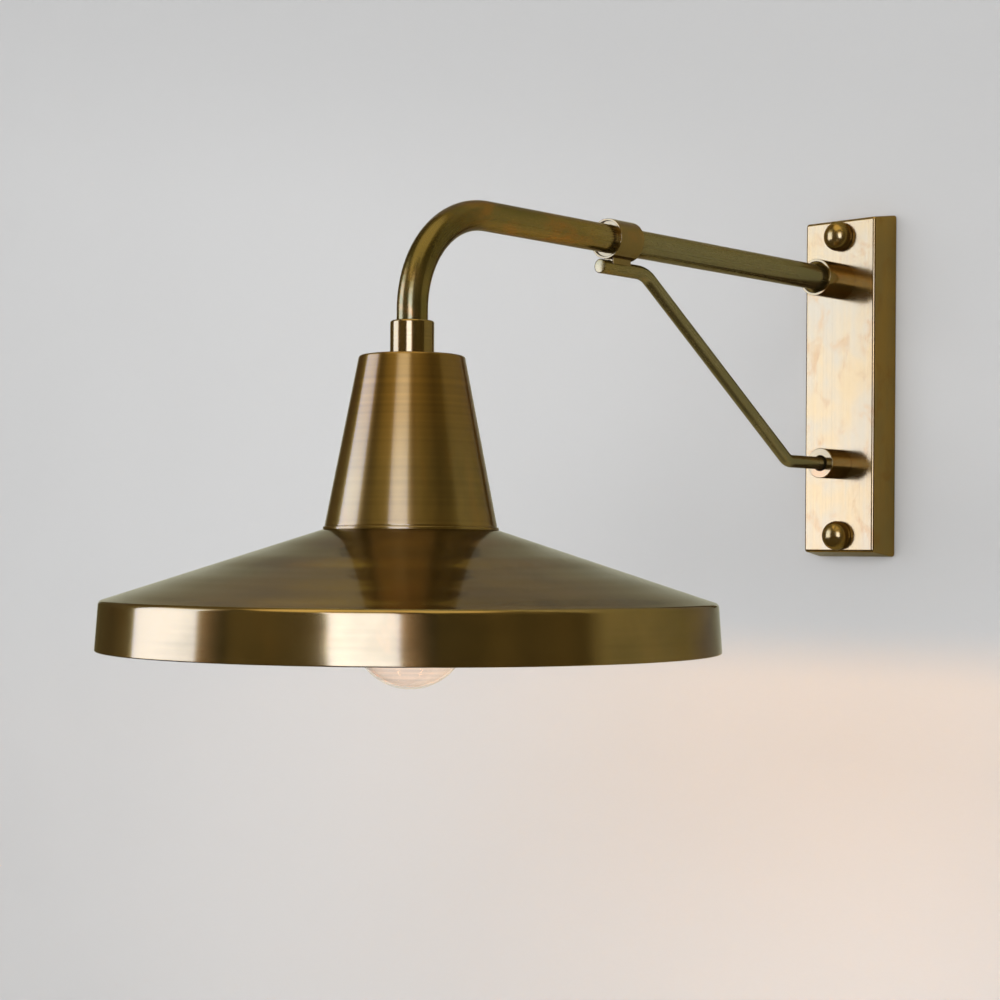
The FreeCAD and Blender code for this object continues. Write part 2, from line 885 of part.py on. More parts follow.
def make_shade_neck():
    """The tall spun cone, closed at the top, with a fine bead at its foot."""
    wall, corner, bead = s.sheet_wall, s.neck_round, s.foot_bead
    top, foot = s.neck_top / 2, s.neck_foot / 2
    slope = (foot - top) / s.neck_height
    shoulder = top + slope * corner
    turned_upright(
        "shade_neck",
        [
            (s.nipple_diameter / 2, neck_level),
            (s.nipple_diameter / 2, neck_inside),
            (top - wall, neck_inside),
            (foot - wall, foot_level),
            (foot + bead, foot_level),
            (foot + bead, foot_level + bead * 2),
            (foot - slope * bead * 2, foot_level + bead * 2),
            (shoulder, neck_level - corner),
            (shoulder - corner, neck_level, shoulder - corner, neck_level - corner, 1),
        ],
    )


def make_shade_dish():
    """The flat spun cone and its upright rim, with a collar inside the neck and a hem at the edge."""
    wall, foot = s.sheet_wall, s.neck_foot / 2
    collar = foot - wall - s.joint_gap
    slope = (foot - s.neck_top / 2) / (s.neck_height - wall)
    ledge = foot + s.foot_bead
    rim, edge, corner = s.rim_top / 2, s.rim_bottom / 2, s.rim_round
    fall = s.dish_drop / (rim - ledge)
    flare = (edge - rim) / s.rim_height
    hem, hem_top = s.hem_thickness, rim_foot + s.hem_height
    hem_round = hem / 2
    turned_upright(
        "shade_dish",
        [
            (collar - slope * s.joint_collar - wall, foot_level + s.joint_collar),
            (collar - wall, foot_level - wall),
            (ledge, foot_level - wall * 1.05),
            (rim - wall, rim_level + fall * wall - wall * 1.05),
            (edge - wall - flare * s.hem_height, hem_top),
            (edge - hem, hem_top - hem_round),
            (edge - hem, rim_foot + hem_round),
            (edge, rim_foot + hem_round, edge - hem_round, rim_foot + hem_round, 1),
            (rim + flare * corner, rim_level - corner),
            (rim - corner, rim_level + fall * corner, rim - corner, rim_level - corner, 1),
            (ledge, foot_level),
            (collar, foot_level),
            (collar - slope * s.joint_collar, foot_level + s.joint_collar),
        ],
    )


def make_lampholder():
    """Metal cap and skirt, with the ceramic core that holds the screw shell and the contacts."""
    outer, wall, entry = s.holder_diameter / 2, s.holder_wall, s.holder_entry_diameter / 2
    bend, thread, mouth = s.holder_cap_round, s.nipple_diameter / 2, s.holder_mouth / 2
    turned_upright(
        "lampholder_cap",
        [
            (thread, cap_shoulder - wall),
            (outer - bend, cap_shoulder - wall),
            (outer - wall, cap_shoulder - bend, outer - bend, cap_shoulder - bend, -1),
            (outer - wall, cap_foot),
            (outer, cap_foot),
            (outer, cap_shoulder - bend),
            (outer - bend, cap_shoulder, outer - bend, cap_shoulder - bend, 1),
            (entry, cap_shoulder),
            (entry, holder_top),
            (thread, holder_top),
        ],
    )
    turned_upright(
        "lampholder_skirt",
        [
            (outer - wall * 2, cap_foot + s.holder_overlap),
            (outer - wall * 2, skirt_foot + wall),
            (mouth, skirt_foot + wall),
            (mouth, skirt_foot),
            (outer - wall, skirt_foot),
            (outer, skirt_foot + wall, outer - wall, skirt_foot + wall, 1),
            (outer, cap_foot),
            (outer - wall, cap_foot),
            (outer - wall, cap_foot + s.holder_overlap),
        ],
    )
    core_outer, core_bore = outer - wall * 2, s.core_bore / 2
    turned_upright(
        "lampholder_core",
        [
            (0, core_ceiling),
            (core_bore, core_ceiling),
            (core_bore, skirt_foot + wall),
            (core_outer, skirt_foot + wall),
            (core_outer, core_top),
            (0, core_top),
        ],
    )


def wave(radius, depth, top, pitch, count):
    """Corners of a rolled thread seen from the side, from the top down."""
    corners = []
    for turn in range(count):
        start = top - pitch * turn
        corners.append((radius - depth, start))
        corners.append((radius, start - pitch / 2))
    corners.append((radius - depth, top - pitch * count))
    return corners


def make_screw_shell():
    """The rolled screw shell in the core, one thread deep all round."""
    inner = s.cap_thread / 2 + s.shell_play
    outer = s.core_bore / 2
    foot = core_ceiling - s.shell_height
    thread_top = core_ceiling - s.shell_height / 6
    rolled = wave(inner + s.cap_thread_depth, s.cap_thread_depth, thread_top, s.cap_pitch, CAP_THREAD_COUNT)
    corners = [(inner, core_ceiling), *rolled, (inner, foot), (outer, foot), (outer, core_ceiling)]
    turned_upright("screw_shell", corners)


def make_contacts():
    """The bent centre contact, and three terminals on top of the core with their screws."""
    width, thick = s.contact_width, s.contact_thickness
    contact = new_body("centre_contact", y=-s.reach)
    strip = new_sketch(contact, "contact_outline", "XZ_Plane")
    foot_end, foot_start, tip = s.core_bore / 2 * -0.75, s.core_bore / 2 * -0.35, s.core_bore / 2 * 0.3
    knee = s.contact_drop / 4
    outline(
        strip,
        [
            (foot_end, core_ceiling),
            (foot_end, core_ceiling - thick),
            (foot_start, core_ceiling - thick),
            (-knee, contact_level),
            (tip, contact_level),
            (tip, contact_level + thick),
            (-knee + thick / 2, contact_level + thick),
            (foot_start + thick / 2, core_ceiling),
        ],
    )
    pad(contact, "contact_strip", strip, width, both_ways=True)
    blocks = new_body("holder_terminals", y=-s.reach)
    squares = new_sketch(blocks, "holder_terminals_outline", "XY_Plane", core_top)
    half = s.terminal_block_size / 2
    places = terminal_places()
    for x, y in places:
        rectangle(squares, x - half, x + half, y - half, y + half)
        circle(squares, x, y, s.wire_diameter / 2)
    pad(blocks, "holder_terminals_pad", squares, s.terminal_block_height)
    screws = new_body("holder_terminal_screws", y=-s.reach)
    level = core_top + s.terminal_block_height / 2
    for number, (x, y) in enumerate(places):
        head = new_sketch(screws, "terminal_screw_%d" % number, "XZ_Plane", -(y - half))
        circle(head, x, level, s.block_screw / 2 * 1.3)
        pad(screws, "terminal_screw_head_%d" % number, head, s.screw_head_height / 2)


def terminal_places():
    """Where the live, neutral and earth terminals stand on the core."""
    return [(-s.terminal_offset, size(0)), (s.terminal_offset, size(0)), (size(0), s.terminal_offset)]


def make_grub_screw():
    screw = new_body("nipple_grub_screw", y=-s.reach)
    end = new_sketch(screw, "grub_outline", "YZ_Plane", s.nipple_diameter / 2)
    circle(end, 0, holder_top - s.holder_entry_height / 2, s.grub_screw_diameter / 2)
    pad(screw, "grub_pad", end, s.holder_entry_diameter / 2 - s.nipple_diameter / 2)
    cap = doc.getObject("lampholder_cap")
    hole = new_sketch(cap, "grub_hole_outline", "YZ_Plane", s.nipple_diameter / 2 - s.holder_wall)
    circle(hole, 0, holder_top - s.holder_entry_height / 2, s.grub_screw_diameter / 2)
    pocket(cap, "grub_hole", hole, s.holder_entry_diameter / 2, reversed_way=True)


def make_bulb_glass():
    """The clear envelope: a ball that a concave neck joins to the cap."""
    neck, ball = s.bulb_neck / 2, s.bulb_diameter / 2
    ball_level = bulb_bottom + ball
    height = cap_rim - ball_level
    throat = (neck * neck + height * height - ball * ball) / (2 * (ball - neck))
    share = 1 / (throat + ball)
    wall = s.glass_wall
    throat_x = neck + throat

    def joint(radius):
        return (radius * throat_x * share, ball_level + radius * height * share)

    outer_joint, inner_joint = joint(ball), joint(ball - wall)
    turned_upright(
        "bulb_glass",
        [
            (neck - wall, glass_top),
            (neck - wall, cap_rim),
            (inner_joint[0], inner_joint[1], throat_x, cap_rim, 1),
            (0, bulb_bottom + wall, 0, ball_level, -1),
            (0, bulb_bottom),
            (outer_joint[0], outer_joint[1], 0, ball_level, 1),
            (neck, cap_rim, throat_x, cap_rim, -1),
            (neck, glass_top),
        ],
    )


def make_bulb_cap():
    """The screw cap, its black end glass and the end contact."""
    thread, depth, wall = s.cap_thread / 2, s.cap_thread_depth, s.cap_wall
    contact = s.end_contact_diameter / 2
    contact_foot = bulb_tip - s.end_contact_height
    glass_foot = contact_foot - s.end_glass_height
    shoulder = thread - depth - wall
    turned_upright(
        "bulb_end_contact",
        [
            (0, contact_foot),
            (contact, contact_foot),
            (contact * 0.55, bulb_tip),
            (0, bulb_tip),
        ],
    )
    turned_upright(
        "bulb_cap_insulator",
        [
            (0, glass_foot - wall),
            (shoulder, glass_foot - wall),
            (shoulder, glass_foot),
            (contact, contact_foot),
            (0, contact_foot),
        ],
    )
    thread_top = glass_foot - wall
    thread_foot = thread_top - s.cap_pitch * CAP_THREAD_COUNT
    outside = wave(thread, depth, thread_top, s.cap_pitch, CAP_THREAD_COUNT)
    inside = wave(thread - wall, depth, thread_top, s.cap_pitch, CAP_THREAD_COUNT)
    flare = s.cap_flare / 2
    outer = [(thread - depth, glass_foot), *outside]
    inner = [(shoulder, glass_foot), *inside]
    seat = s.bulb_neck / 2
    lower = [
        (seat + wall, thread_foot - wall),
        (seat + wall, cap_rim + wall * 2),
        (flare, cap_rim),
        (flare - wall, cap_rim),
        (seat, cap_rim + wall * 2),
        (seat, thread_foot - wall),
    ]
    turned_upright("bulb_cap", outer + lower + inner[::-1])


def make_bulb_inside():
    """The glass stem with its lead wires, and the filaments between two spiders on a centre wire."""
    stem, neck = s.stem_diameter / 2, s.bulb_neck / 2 - s.glass_wall
    flare_level = glass_top - s.glass_wall
    stem_foot = flare_level - s.stem_length
    throat = flare_level - s.stem_length / 3
    lead_level = flare_level - s.stem_length / 4
    turned_upright(
        "bulb_stem",
        [
            (0, lead_level),
            (s.lead_spacing, lead_level),
            (neck - s.glass_wall, flare_level),
            (neck, flare_level),
            (neck, flare_level - s.glass_wall),
            (stem, throat),
            (stem, stem_foot + s.glass_wall),
            (stem - s.glass_wall, stem_foot),
            (0, stem_foot),
        ],
    )
    leads = [(-s.lead_spacing / 2, 0), (s.lead_spacing / 2, 0)]
    lead_top = bulb_tip - s.end_contact_height - s.end_glass_height - s.cap_wall
    round_bars("bulb_leads", leads, lead_level, lead_top, s.lead_diameter)
    upper = stem_foot - s.hub_thickness
    lower = upper - s.filament_length
    ring = s.filament_circle / 2
    hub = new_body("filament_hub", y=-s.reach)
    arm = s.filament_diameter / 2
    for name, level in (("upper_spider", upper), ("lower_spider", lower - s.hub_thickness)):
        cross = new_sketch(hub, name + "_outline", "XY_Plane", level)
        reach = ring + arm
        outline(
            cross,
            [
                (-reach, -arm),
                (-arm, -arm),
                (-arm, -reach),
                (arm, -reach),
                (arm, -arm),
                (reach, -arm),
                (reach, arm),
                (arm, arm),
                (arm, reach),
                (-arm, reach),
                (-arm, arm),
                (-reach, arm),
            ],
        )
        pad(hub, name, cross, s.hub_thickness)
    wire = new_sketch(hub, "hub_wire_outline", "XY_Plane", lower)
    circle(wire, 0, 0, s.lead_diameter / 2)
    pad(hub, "hub_wire", wire, s.filament_length)
    places = []
    for number in range(FILAMENTS):
        angle = 2 * math.pi * number / FILAMENTS
        places.append((ring * round(math.cos(angle), 9), ring * round(math.sin(angle), 9)))
    round_bars("bulb_filaments", places, lower, upper, s.filament_diameter)


def make_connector():
    """The supply connector on the crossbar, with its clamps, screws and fixing screw."""
    front = bar_front - s.block_depth
    half = s.block_width / 2
    poles = [-s.pole_pitch, size(0), s.pole_pitch]

    def draw(sketch):
        rectangle(sketch, -half, half, block_foot, block_top)
        circle(sketch, s.pole_pitch / 2, s.block_centre, s.block_screw / 2)

    block = plate("terminal_block", draw, bar_front, front)
    ways = new_sketch(block, "clamp_ways_outline", "XY_Plane", block_foot)
    for x in poles:
        circle(ways, x, pole_depth, s.clamp_diameter / 2)
    pocket(block, "clamp_ways", ways, s.block_height, reversed_way=True)
    screw_ways = new_sketch(block, "screw_ways_outline", "XZ_Plane", -pole_depth)
    rows = [s.block_centre - s.clamp_length / 4, s.block_centre + s.clamp_length / 4]
    for x in poles:
        for z in rows:
            circle(screw_ways, x, z, s.clamp_screw / 2)
    pocket(block, "screw_ways", screw_ways, s.block_depth, reversed_way=True)

    clamps = new_body("terminal_clamps")
    rings = new_sketch(clamps, "clamps_outline", "XY_Plane", s.block_centre - s.clamp_length / 2)
    for x in poles:
        circle(rings, x, pole_depth, s.clamp_diameter / 2)
        circle(rings, x, pole_depth, s.clamp_bore / 2)
    pad(clamps, "clamps_pad", rings, s.clamp_length)
    taps = new_sketch(clamps, "clamp_taps_outline", "XZ_Plane", -pole_depth)
    for x in poles:
        for z in rows:
            circle(taps, x, z, s.clamp_screw / 2)
    pocket(clamps, "clamp_taps", taps, s.clamp_diameter, reversed_way=True)

    screws = new_body("terminal_screws")
    bodies = new_sketch(screws, "terminal_screws_outline", "XZ_Plane", -pole_depth + s.wire_diameter / 2)
    for x in poles:
        for z in rows:
            circle(bodies, x, z, s.clamp_screw / 2)
    pad(screws, "terminal_screws_pad", bodies, s.block_depth / 2 - s.wire_diameter / 2)

    fixing = new_body("block_fixing_screw", x=s.pole_pitch / 2, z=s.block_centre)
    turned(
        fixing,
        "block_fixing_screw_turned",
        "YZ_Plane",
        "H_Axis",
        [
            (0, 0),
            (0, s.block_screw / 2),
            (front, s.block_screw / 2),
            (front, s.block_screw),
            (front - s.screw_head_height / 2, s.block_screw),
            (front - s.screw_head_height, s.block_screw / 2),
            (front - s.screw_head_height, 0),
        ],
    )


def make_earth_bond():
    """The earth screw on the crossbar, with the tag that it clamps."""
    level, shank = -s.earth_screw_height, s.earth_screw_diameter / 2
    tag_front = bar_front - s.washer_thickness
    turned_outward(
        "earth_screw",
        level,
        [
            (0, 0),
            (0, shank),
            (tag_front, shank),
            (tag_front, shank * 2),
            (tag_front - s.screw_head_height / 2, shank * 2),
            (tag_front - s.screw_head_height, shank),
            (tag_front - s.screw_head_height, 0),
        ],
    )

    def draw(sketch):
        ring, tail = shank * 2.2, s.wire_diameter
        outline(
            sketch,
            [
                (-ring, level),
                (ring, level, 0, level, 1),
                (tail, level + ring),
                (tail, level + ring * 2),
                (-tail, level + ring * 2),
                (-tail, level + ring),
            ],
        )
        circle(sketch, 0, level, shank)

    plate("earth_tag", draw, bar_front, tag_front)


def route_wire(points, radii):
    """Straight runs joined by tangent arcs, through points given as vectors."""
    edges = []
    start = points[0]
    for number in range(1, len(points) - 1):
        corner = points[number]
        back = (points[number - 1] - corner).normalize()
        ahead = (points[number + 1] - corner).normalize()
        turn = math.pi - back.getAngle(ahead)
        cut = radii[number - 1] * math.tan(turn / 2)
        first, last = corner + back * cut, corner + ahead * cut
        inward = (back + ahead).normalize()
        middle = corner + inward * (radii[number - 1] / math.cos(turn / 2) - radii[number - 1])
        if (first - start).Length > 1e-6:
            edges.append(Part.LineSegment(start, first).toShape())
        edges.append(Part.Arc(first, middle, last).toShape())
        start = last
    edges.append(Part.LineSegment(start, points[-1]).toShape())
    return Part.Wire(edges)


def sweep_round(label, points, radii, diameter):
    """A round wire along a route, checked against its section times its length."""
    path = route_wire(points, radii)
    direction = points[1] - points[0]
    ring = Part.Wire(Part.makeCircle(diameter / 2, points[0], direction))
    shape = path.makePipeShell([ring], True, False)
    expected = math.pi * diameter**2 / 4 * path.Length
    if abs(shape.Volume - expected) > 0.01 * expected:
        raise ValueError("%s has volume %.1f and its route gives %.1f" % (label, shape.Volume, expected))
    piece = doc.addObject("Part::Feature", label)
    piece.Label = label
    piece.Shape = shape
    print(label, "length %.1f mm, tightest radius %.1f mm" % (path.Length, min(radii)))


def make_arm_wire(label, pole, side, above, terminal):
    """A wire from the connector, through boss, tube, bend and nipple, to its terminal on the lampholder."""
    line = arm_level.value + above
    drop = -s.reach.value - above
    depth = pole_depth.value
    back_run = boss_neck_end.value + s.wire_turn.value + above
    lower = block_top.value
    slope_end = lower + (line - s.wire_turn.value - lower) * 0.7
    reach_in = s.wire_insertion.value
    terminal_x, terminal_y = terminal[0].value, -s.reach.value + terminal[1].value
    terminal_top = core_top.value + s.terminal_block_height.value
    exit_level = nipple_foot.value - s.wire_ease.value / 2
    points = [
        Vector(pole.value, depth, lower - reach_in),
        Vector(pole.value, depth, lower + s.wire_ease.value),
        Vector(side, back_run, slope_end),
        Vector(side, back_run, line),
        Vector(side, drop, line),
        Vector(side, drop, exit_level),
        Vector(terminal_x, terminal_y, terminal_top + s.wire_ease.value / 2),
        Vector(terminal_x, terminal_y, terminal_top - reach_in),
    ]
    ease = s.wire_bend.value
    turn, bend = s.wire_turn.value + above, s.bend_radius.value + above
    sweep_round(label, points, [ease * 2, ease * 2, turn, bend, ease, ease], s.wire_diameter.value)


def make_wires():
    side, above, below = s.wire_side.value, s.wire_above.value, s.wire_below.value
    live, neutral, earth = terminal_places()
    make_arm_wire("live_wire", -s.pole_pitch, -side, above, live)
    make_arm_wire("neutral_wire", s.pole_pitch, side, above, neutral)
    make_arm_wire("earth_wire", size(0), 0.0, -below, earth)
    rest = (bar_front - s.washer_thickness - s.wire_diameter / 2).value
    tag_top = -s.earth_screw_height.value + s.earth_screw_diameter.value * 2.2
    depth = pole_depth.value
    ease = s.wire_ease.value
    points = [
        Vector(0, depth, block_foot.value + s.wire_insertion.value),
        Vector(0, depth, block_foot.value - ease),
        Vector(0, rest, tag_top + ease),
        Vector(0, rest, tag_top - s.wire_diameter.value * 2),
    ]
    sweep_round("earth_link", points, [s.wire_bend.value * 2] * 2, s.wire_diameter.value)


def write_parts():
    """Check every object, then write each sub-part to its own file."""
    doc.recompute()
    for thing in doc.Objects:
        if "Invalid" in thing.State or "Error" in thing.State:
            raise ValueError("%s failed: %s" % (thing.Label, thing.getStatusString()))
    pieces = [thing for thing in doc.Objects if thing.TypeId in ("PartDesign::Body", "Part::Feature")]
    for piece in pieces:
        if piece.Shape.isNull() or not piece.Shape.isValid() or not piece.Shape.Solids:
            raise ValueError("%s has no valid solid" % piece.Label)
    os.makedirs("parts", exist_ok=True)
    for piece in pieces:
        piece.Shape.exportStep("parts/%s.step" % piece.Label)
    print(len(pieces), "sub-parts written")


make_wall_bracket()
make_studs()
make_back_plate()
washer_bore = s.stud_diameter + s.stud_hole_gap * 2
for label, side in (("top", 1), ("bottom", -1)):
    place = side * stud_spacing / 2
    thickness, diameter = s.nut_washer_thickness, s.nut_washer_diameter
    washer(label + "_nut_washer", place, cover_front, thickness, diameter, washer_bore)
    make_thumb_nut(label + "_thumb_nut", side)
make_arm_boss()
make_strut_boss()
make_arm_tube()
make_strut_rod()
make_strut_collar()
make_shade_coupler()
make_nipple_fixings()
make_shade_neck()
make_shade_dish()
make_lampholder()
make_screw_shell()
make_contacts()
make_grub_screw()
make_bulb_glass()
make_bulb_cap()
make_bulb_inside()
make_connector()
make_earth_bond()
make_wires()
write_parts()
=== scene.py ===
import json
import math

import bmesh
import bpy
from mathutils import Matrix, Vector


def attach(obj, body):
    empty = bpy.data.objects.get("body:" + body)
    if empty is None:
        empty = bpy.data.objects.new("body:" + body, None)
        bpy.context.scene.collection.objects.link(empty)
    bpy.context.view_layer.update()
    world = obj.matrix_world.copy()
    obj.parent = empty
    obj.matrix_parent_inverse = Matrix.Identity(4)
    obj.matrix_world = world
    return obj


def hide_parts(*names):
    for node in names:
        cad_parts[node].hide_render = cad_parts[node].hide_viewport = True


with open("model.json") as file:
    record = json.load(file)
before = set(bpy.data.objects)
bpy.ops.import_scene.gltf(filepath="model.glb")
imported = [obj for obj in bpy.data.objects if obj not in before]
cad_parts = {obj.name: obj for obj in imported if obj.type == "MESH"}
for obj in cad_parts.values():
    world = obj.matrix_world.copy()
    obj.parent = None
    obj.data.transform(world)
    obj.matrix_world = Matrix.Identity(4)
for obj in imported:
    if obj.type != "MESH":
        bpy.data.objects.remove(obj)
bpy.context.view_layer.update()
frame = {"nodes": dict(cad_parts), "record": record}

# Metres, +Z up. The wall is the plane Y = 0, the arm lies in the plane X = 0.
# The light's pieces are given in millimetres; finishes, room, lamps and camera in metres.
mm = 0.001
shadeAxis = -413.3  # Y of the shade's axis
armLevel = 68.2
strutLevel = -50.9
nutLevel = 97.4


def say(text):
    print("scene:", text)


class Wire:
    # a shader socket that can stand in a sum
    def __init__(self, finish, socket):
        self.finish = finish
        self.socket = socket

    def out(self, name):
        return Wire(self.finish, self.socket.node.outputs[name])

    def math(self, operation, other=None, swapped=False):
        values = (self,) if other is None else (other, self) if swapped else (self, other)
        return self.finish.add("ShaderNodeMath", {"operation": operation}, dict(enumerate(values)))

    def __add__(self, other):
        return self.math("ADD", other)

    __radd__ = __add__

    def __sub__(self, other):
        return self.math("SUBTRACT", other)

    def __rsub__(self, other):
        return self.math("SUBTRACT", other, True)

    def __mul__(self, other):
        return self.math("MULTIPLY", other)

    __rmul__ = __mul__


class Finish:
    # one material and its nodes
    def __init__(self, name):
        self.material = bpy.data.materials.new(name)
        self.material.use_nodes = True
        self.tree = self.material.node_tree
        self.tree.nodes.clear()
        self.end = self.tree.nodes.new("ShaderNodeOutputMaterial")

    def add(self, kind, settings=None, sockets=None, out=0):
        node = self.tree.nodes.new(kind)
        for name, value in (settings or {}).items():
            setattr(node, name, value)
        for name, value in (sockets or {}).items():
            if isinstance(value, Wire):
                self.tree.links.new(value.socket, node.inputs[name])
            elif isinstance(value, tuple) and len(value) == 3 and len(node.inputs[name].default_value) == 4:
                node.inputs[name].default_value = (*value, 1.0)
            else:
                node.inputs[name].default_value = value
        return Wire(self, node.outputs[out])

    def blend(self, first, second, share):
        # colours, by share of the second
        return self.add("ShaderNodeMix", {"data_type": "RGBA"}, {0: share, 6: first, 7: second}, 2)

    def ease(self, value, low, high, toLow=0.0, toHigh=1.0):
        return self.add("ShaderNodeMapRange", {"interpolation_type": "SMOOTHSTEP"}, {
            "Value": value, "From Min": low, "From Max": high, "To Min": toLow, "To Max": toHigh,
        })

    def noise(self, place, scale, detail=2.0, roughness=0.5, distortion=0.0):
        return self.add("ShaderNodeTexNoise", None, {
            "Vector": place, "Scale": scale, "Detail": detail, "Roughness": roughness, "Distortion": distortion,
        })

    def lines(self, value, scale, detail=2.0):
        # noise that varies along one number only
        sockets = {"W": value, "Scale": scale, "Detail": detail}
        return self.add("ShaderNodeTexNoise", {"noise_dimensions": "1D"}, sockets)

    def bump(self, height, strength, distance, under=None):
        # under is a coarser bump that this one lies on
        sockets = {"Strength": strength, "Distance": distance, "Height": height}
        if under:
            sockets["Normal"] = under
        return self.add("ShaderNodeBump", None, sockets)

    def spot(self):
        return self.add("ShaderNodeTexCoord", out="Object")

    def split(self, vector):
        return self.add("ShaderNodeSeparateXYZ", None, {0: vector})

    def stretched(self, vector, scale):
        return self.add("ShaderNodeMapping", None, {"Vector": vector, "Scale": scale})

    def surface(self, **sockets):
        named = {name.replace("_", " "): value for name, value in sockets.items()}
        self.show(self.add("ShaderNodeBsdfPrincipled", None, named))

    def glow(self, tone):
        return self.add("ShaderNodeEmission", None, {"Color": tone, "Strength": 1.0})

    def show(self, shader):
        self.tree.links.new(shader.socket, self.end.inputs["Surface"])


def scaled(tone, share):
    return tuple(part * share for part in tone)


wideSpan, narrowSpan = (0.3, 0.7), (0.35, 0.65)  # most of a noise's values lie in these

brassLook = {
    "deep": (0.165, 0.106, 0.024),  # darkest and lightest tone of the patches
    "clear": (0.235, 0.148, 0.036),
    "amber": (0.285, 0.132, 0.026),  # warm clouds over them
    "amberShare": 0.6,
    "edge": (0.42, 0.34, 0.20),  # tint of the mirror at a flat angle
    "metallic": 0.88,
    "coat": 0.35,
    "coatIor": 1.45,
    "coatRoughness": 0.08,
    "roughness": (0.09, 0.15),
    "stretch": 0.0,  # how much the lines smear a highlight across them
    "patchScale": 22.0,
    "patchShape": (1.0, 1.0, 1.0),
    "patchSpan": (0.36, 0.64),  # noise values between which deep turns to clear
    "cloudFactor": 2.7,
    "cloudSpan": (0.50, 0.72),
    "speckScale": 1400.0,
    "lineScale": 2400.0,
    "coarseFactor": 2.6,  # how much further apart the coarse lines are
    "lineShare": 0.2,
    "lineBump": 0.06,
    "bumpDepth": 0.0004,
    "ripple": 0.0,  # height of the spinning rings, metres
    "ringScale": 31.0,
    "grey": None,  # tone near the wall, a painted reflection of the pale wall, and where it starts and ends along Y
    "greySpan": (-0.24, -0.16),
    "bend": None,  # painted shade: a dark tone on the top of the bend, with its place along Y and up Z
    "bendShadeSpan": (-0.38, -0.35),
    "bendShadeRise": (0.030, 0.055),
    "crown": None,  # painted shade: darker tone towards a cone's top, where its highlights fade, and where it sets in
    "crownSpan": (-0.070, -0.015),
}


def agedBrass(name, along=False, mapped=True, **changes):
    # lacquered brass: turned or drawn lines, cloudy patches, and specks in the lacquer
    look = {**brassLook, **changes}
    f = Finish(name)
    place = f.spot()
    grain = f.split(f.add("ShaderNodeUVMap", {"uv_map": "grain"}) if mapped else place)
    across = grain.out("Y") if along else grain.out("X")
    fine = f.lines(across, look["lineScale"], 1.5)
    coarse = f.lines(across, look["lineScale"] / look["coarseFactor"], 1.0)
    spread = f.stretched(place, look["patchShape"])
    patches = f.noise(spread, look["patchScale"], 4.0, 0.55, 0.4)
    clouds = f.noise(spread, look["patchScale"] * look["cloudFactor"], 4.0, 0.62, 0.6)
    specks = f.noise(place, look["speckScale"], 2.0)
    share = look["lineShare"]
    tone = f.blend(look["deep"], look["clear"], f.ease(patches * (1 - share) + coarse * share, *look["patchSpan"]))
    tone = f.blend(tone, look["amber"], f.ease(clouds, *look["cloudSpan"], 0.0, look["amberShare"]))
    spot = f.split(place)
    if look["grey"]:
        # painted reflection: the length near the wall is tinted greyer, for the pale wall it mirrors
        wallReflected = f.ease(spot.out("Y") + patches * 0.08, *look["greySpan"], 0.0, 0.85)
        tone = f.blend(tone, look["grey"], wallReflected)
    if look["bend"]:
        # painted shade: the top of the bend is darkened
        shadedBend = f.ease(spot.out("Y") + patches * 0.02, *look["bendShadeSpan"], 0.85, 0.0)
        raised = f.ease(spot.out("Z") + patches * 0.02, *look["bendShadeRise"])
        tone = f.blend(tone, look["bend"], shadedBend * raised)
    if look["crown"]:
        # painted shade: browner towards the top of the cone, where the highlights fade
        crown = f.blend(scaled(look["crown"], 0.8), scaled(look["crown"], 1.2), coarse)
        shadedTop = f.ease(spot.out("Z") + patches * 0.02, *look["crownSpan"], 0.0, 0.9)
        tone = f.blend(tone, crown, shadedTop)
    rough = f.ease(fine * 0.3 + patches * 0.45 + specks * 0.25, *wideSpan, *look["roughness"])
    # shallow rings left by the spinning tool
    rings = f.bump(f.lines(across, look["ringScale"], 1.0), 1.0, look["ripple"]) if look["ripple"] else None
    normal = f.bump(fine * 0.5 + coarse * 0.35 + specks * 0.15, look["lineBump"], look["bumpDepth"], rings)
    f.surface(
        Base_Color=tone, Metallic=look["metallic"], Roughness=rough, Normal=normal,
        Coat_Weight=look["coat"], Coat_Roughness=look["coatRoughness"], Coat_IOR=look["coatIor"],
        Specular_Tint=(*look["edge"], 1.0), Anisotropic=look["stretch"], Anisotropic_Rotation=0.25,
    )
    return f.material


metalLook = {
    "cloudScale": 60.0, "gritScale": 900.0, "scratches": (90.0, 90.0, 1500.0),
    "strength": 0.18, "bumpDepth": 0.0003,
}
bodyLook = {"cloudScale": 70.0, "skinScale": 1800.0, "stripe": 2850.0, "strength": 0.12, "bumpDepth": 0.0002}


def plainMetal(name, dark, light, roughness):
    # plated or machined metal of the inner pieces
    look = metalLook
    f = Finish(name)
    place = f.spot()
    cloud = f.noise(place, look["cloudScale"], 4.0, 0.6)
    grit = f.noise(place, look["gritScale"], 3.0, 0.6)
    scratches = f.noise(f.stretched(place, look["scratches"]), 1.0, 2.0)
    tone = f.blend(dark, light, f.ease(cloud * 0.6 + scratches * 0.4, *wideSpan))
    rough = f.ease(cloud * 0.5 + scratches * 0.5, *wideSpan, *roughness)
    normal = f.bump(grit * 0.4 + scratches * 0.6, look["strength"], look["bumpDepth"])
    f.surface(Base_Color=tone, Metallic=0.95, Roughness=rough, Normal=normal)
    return f.material


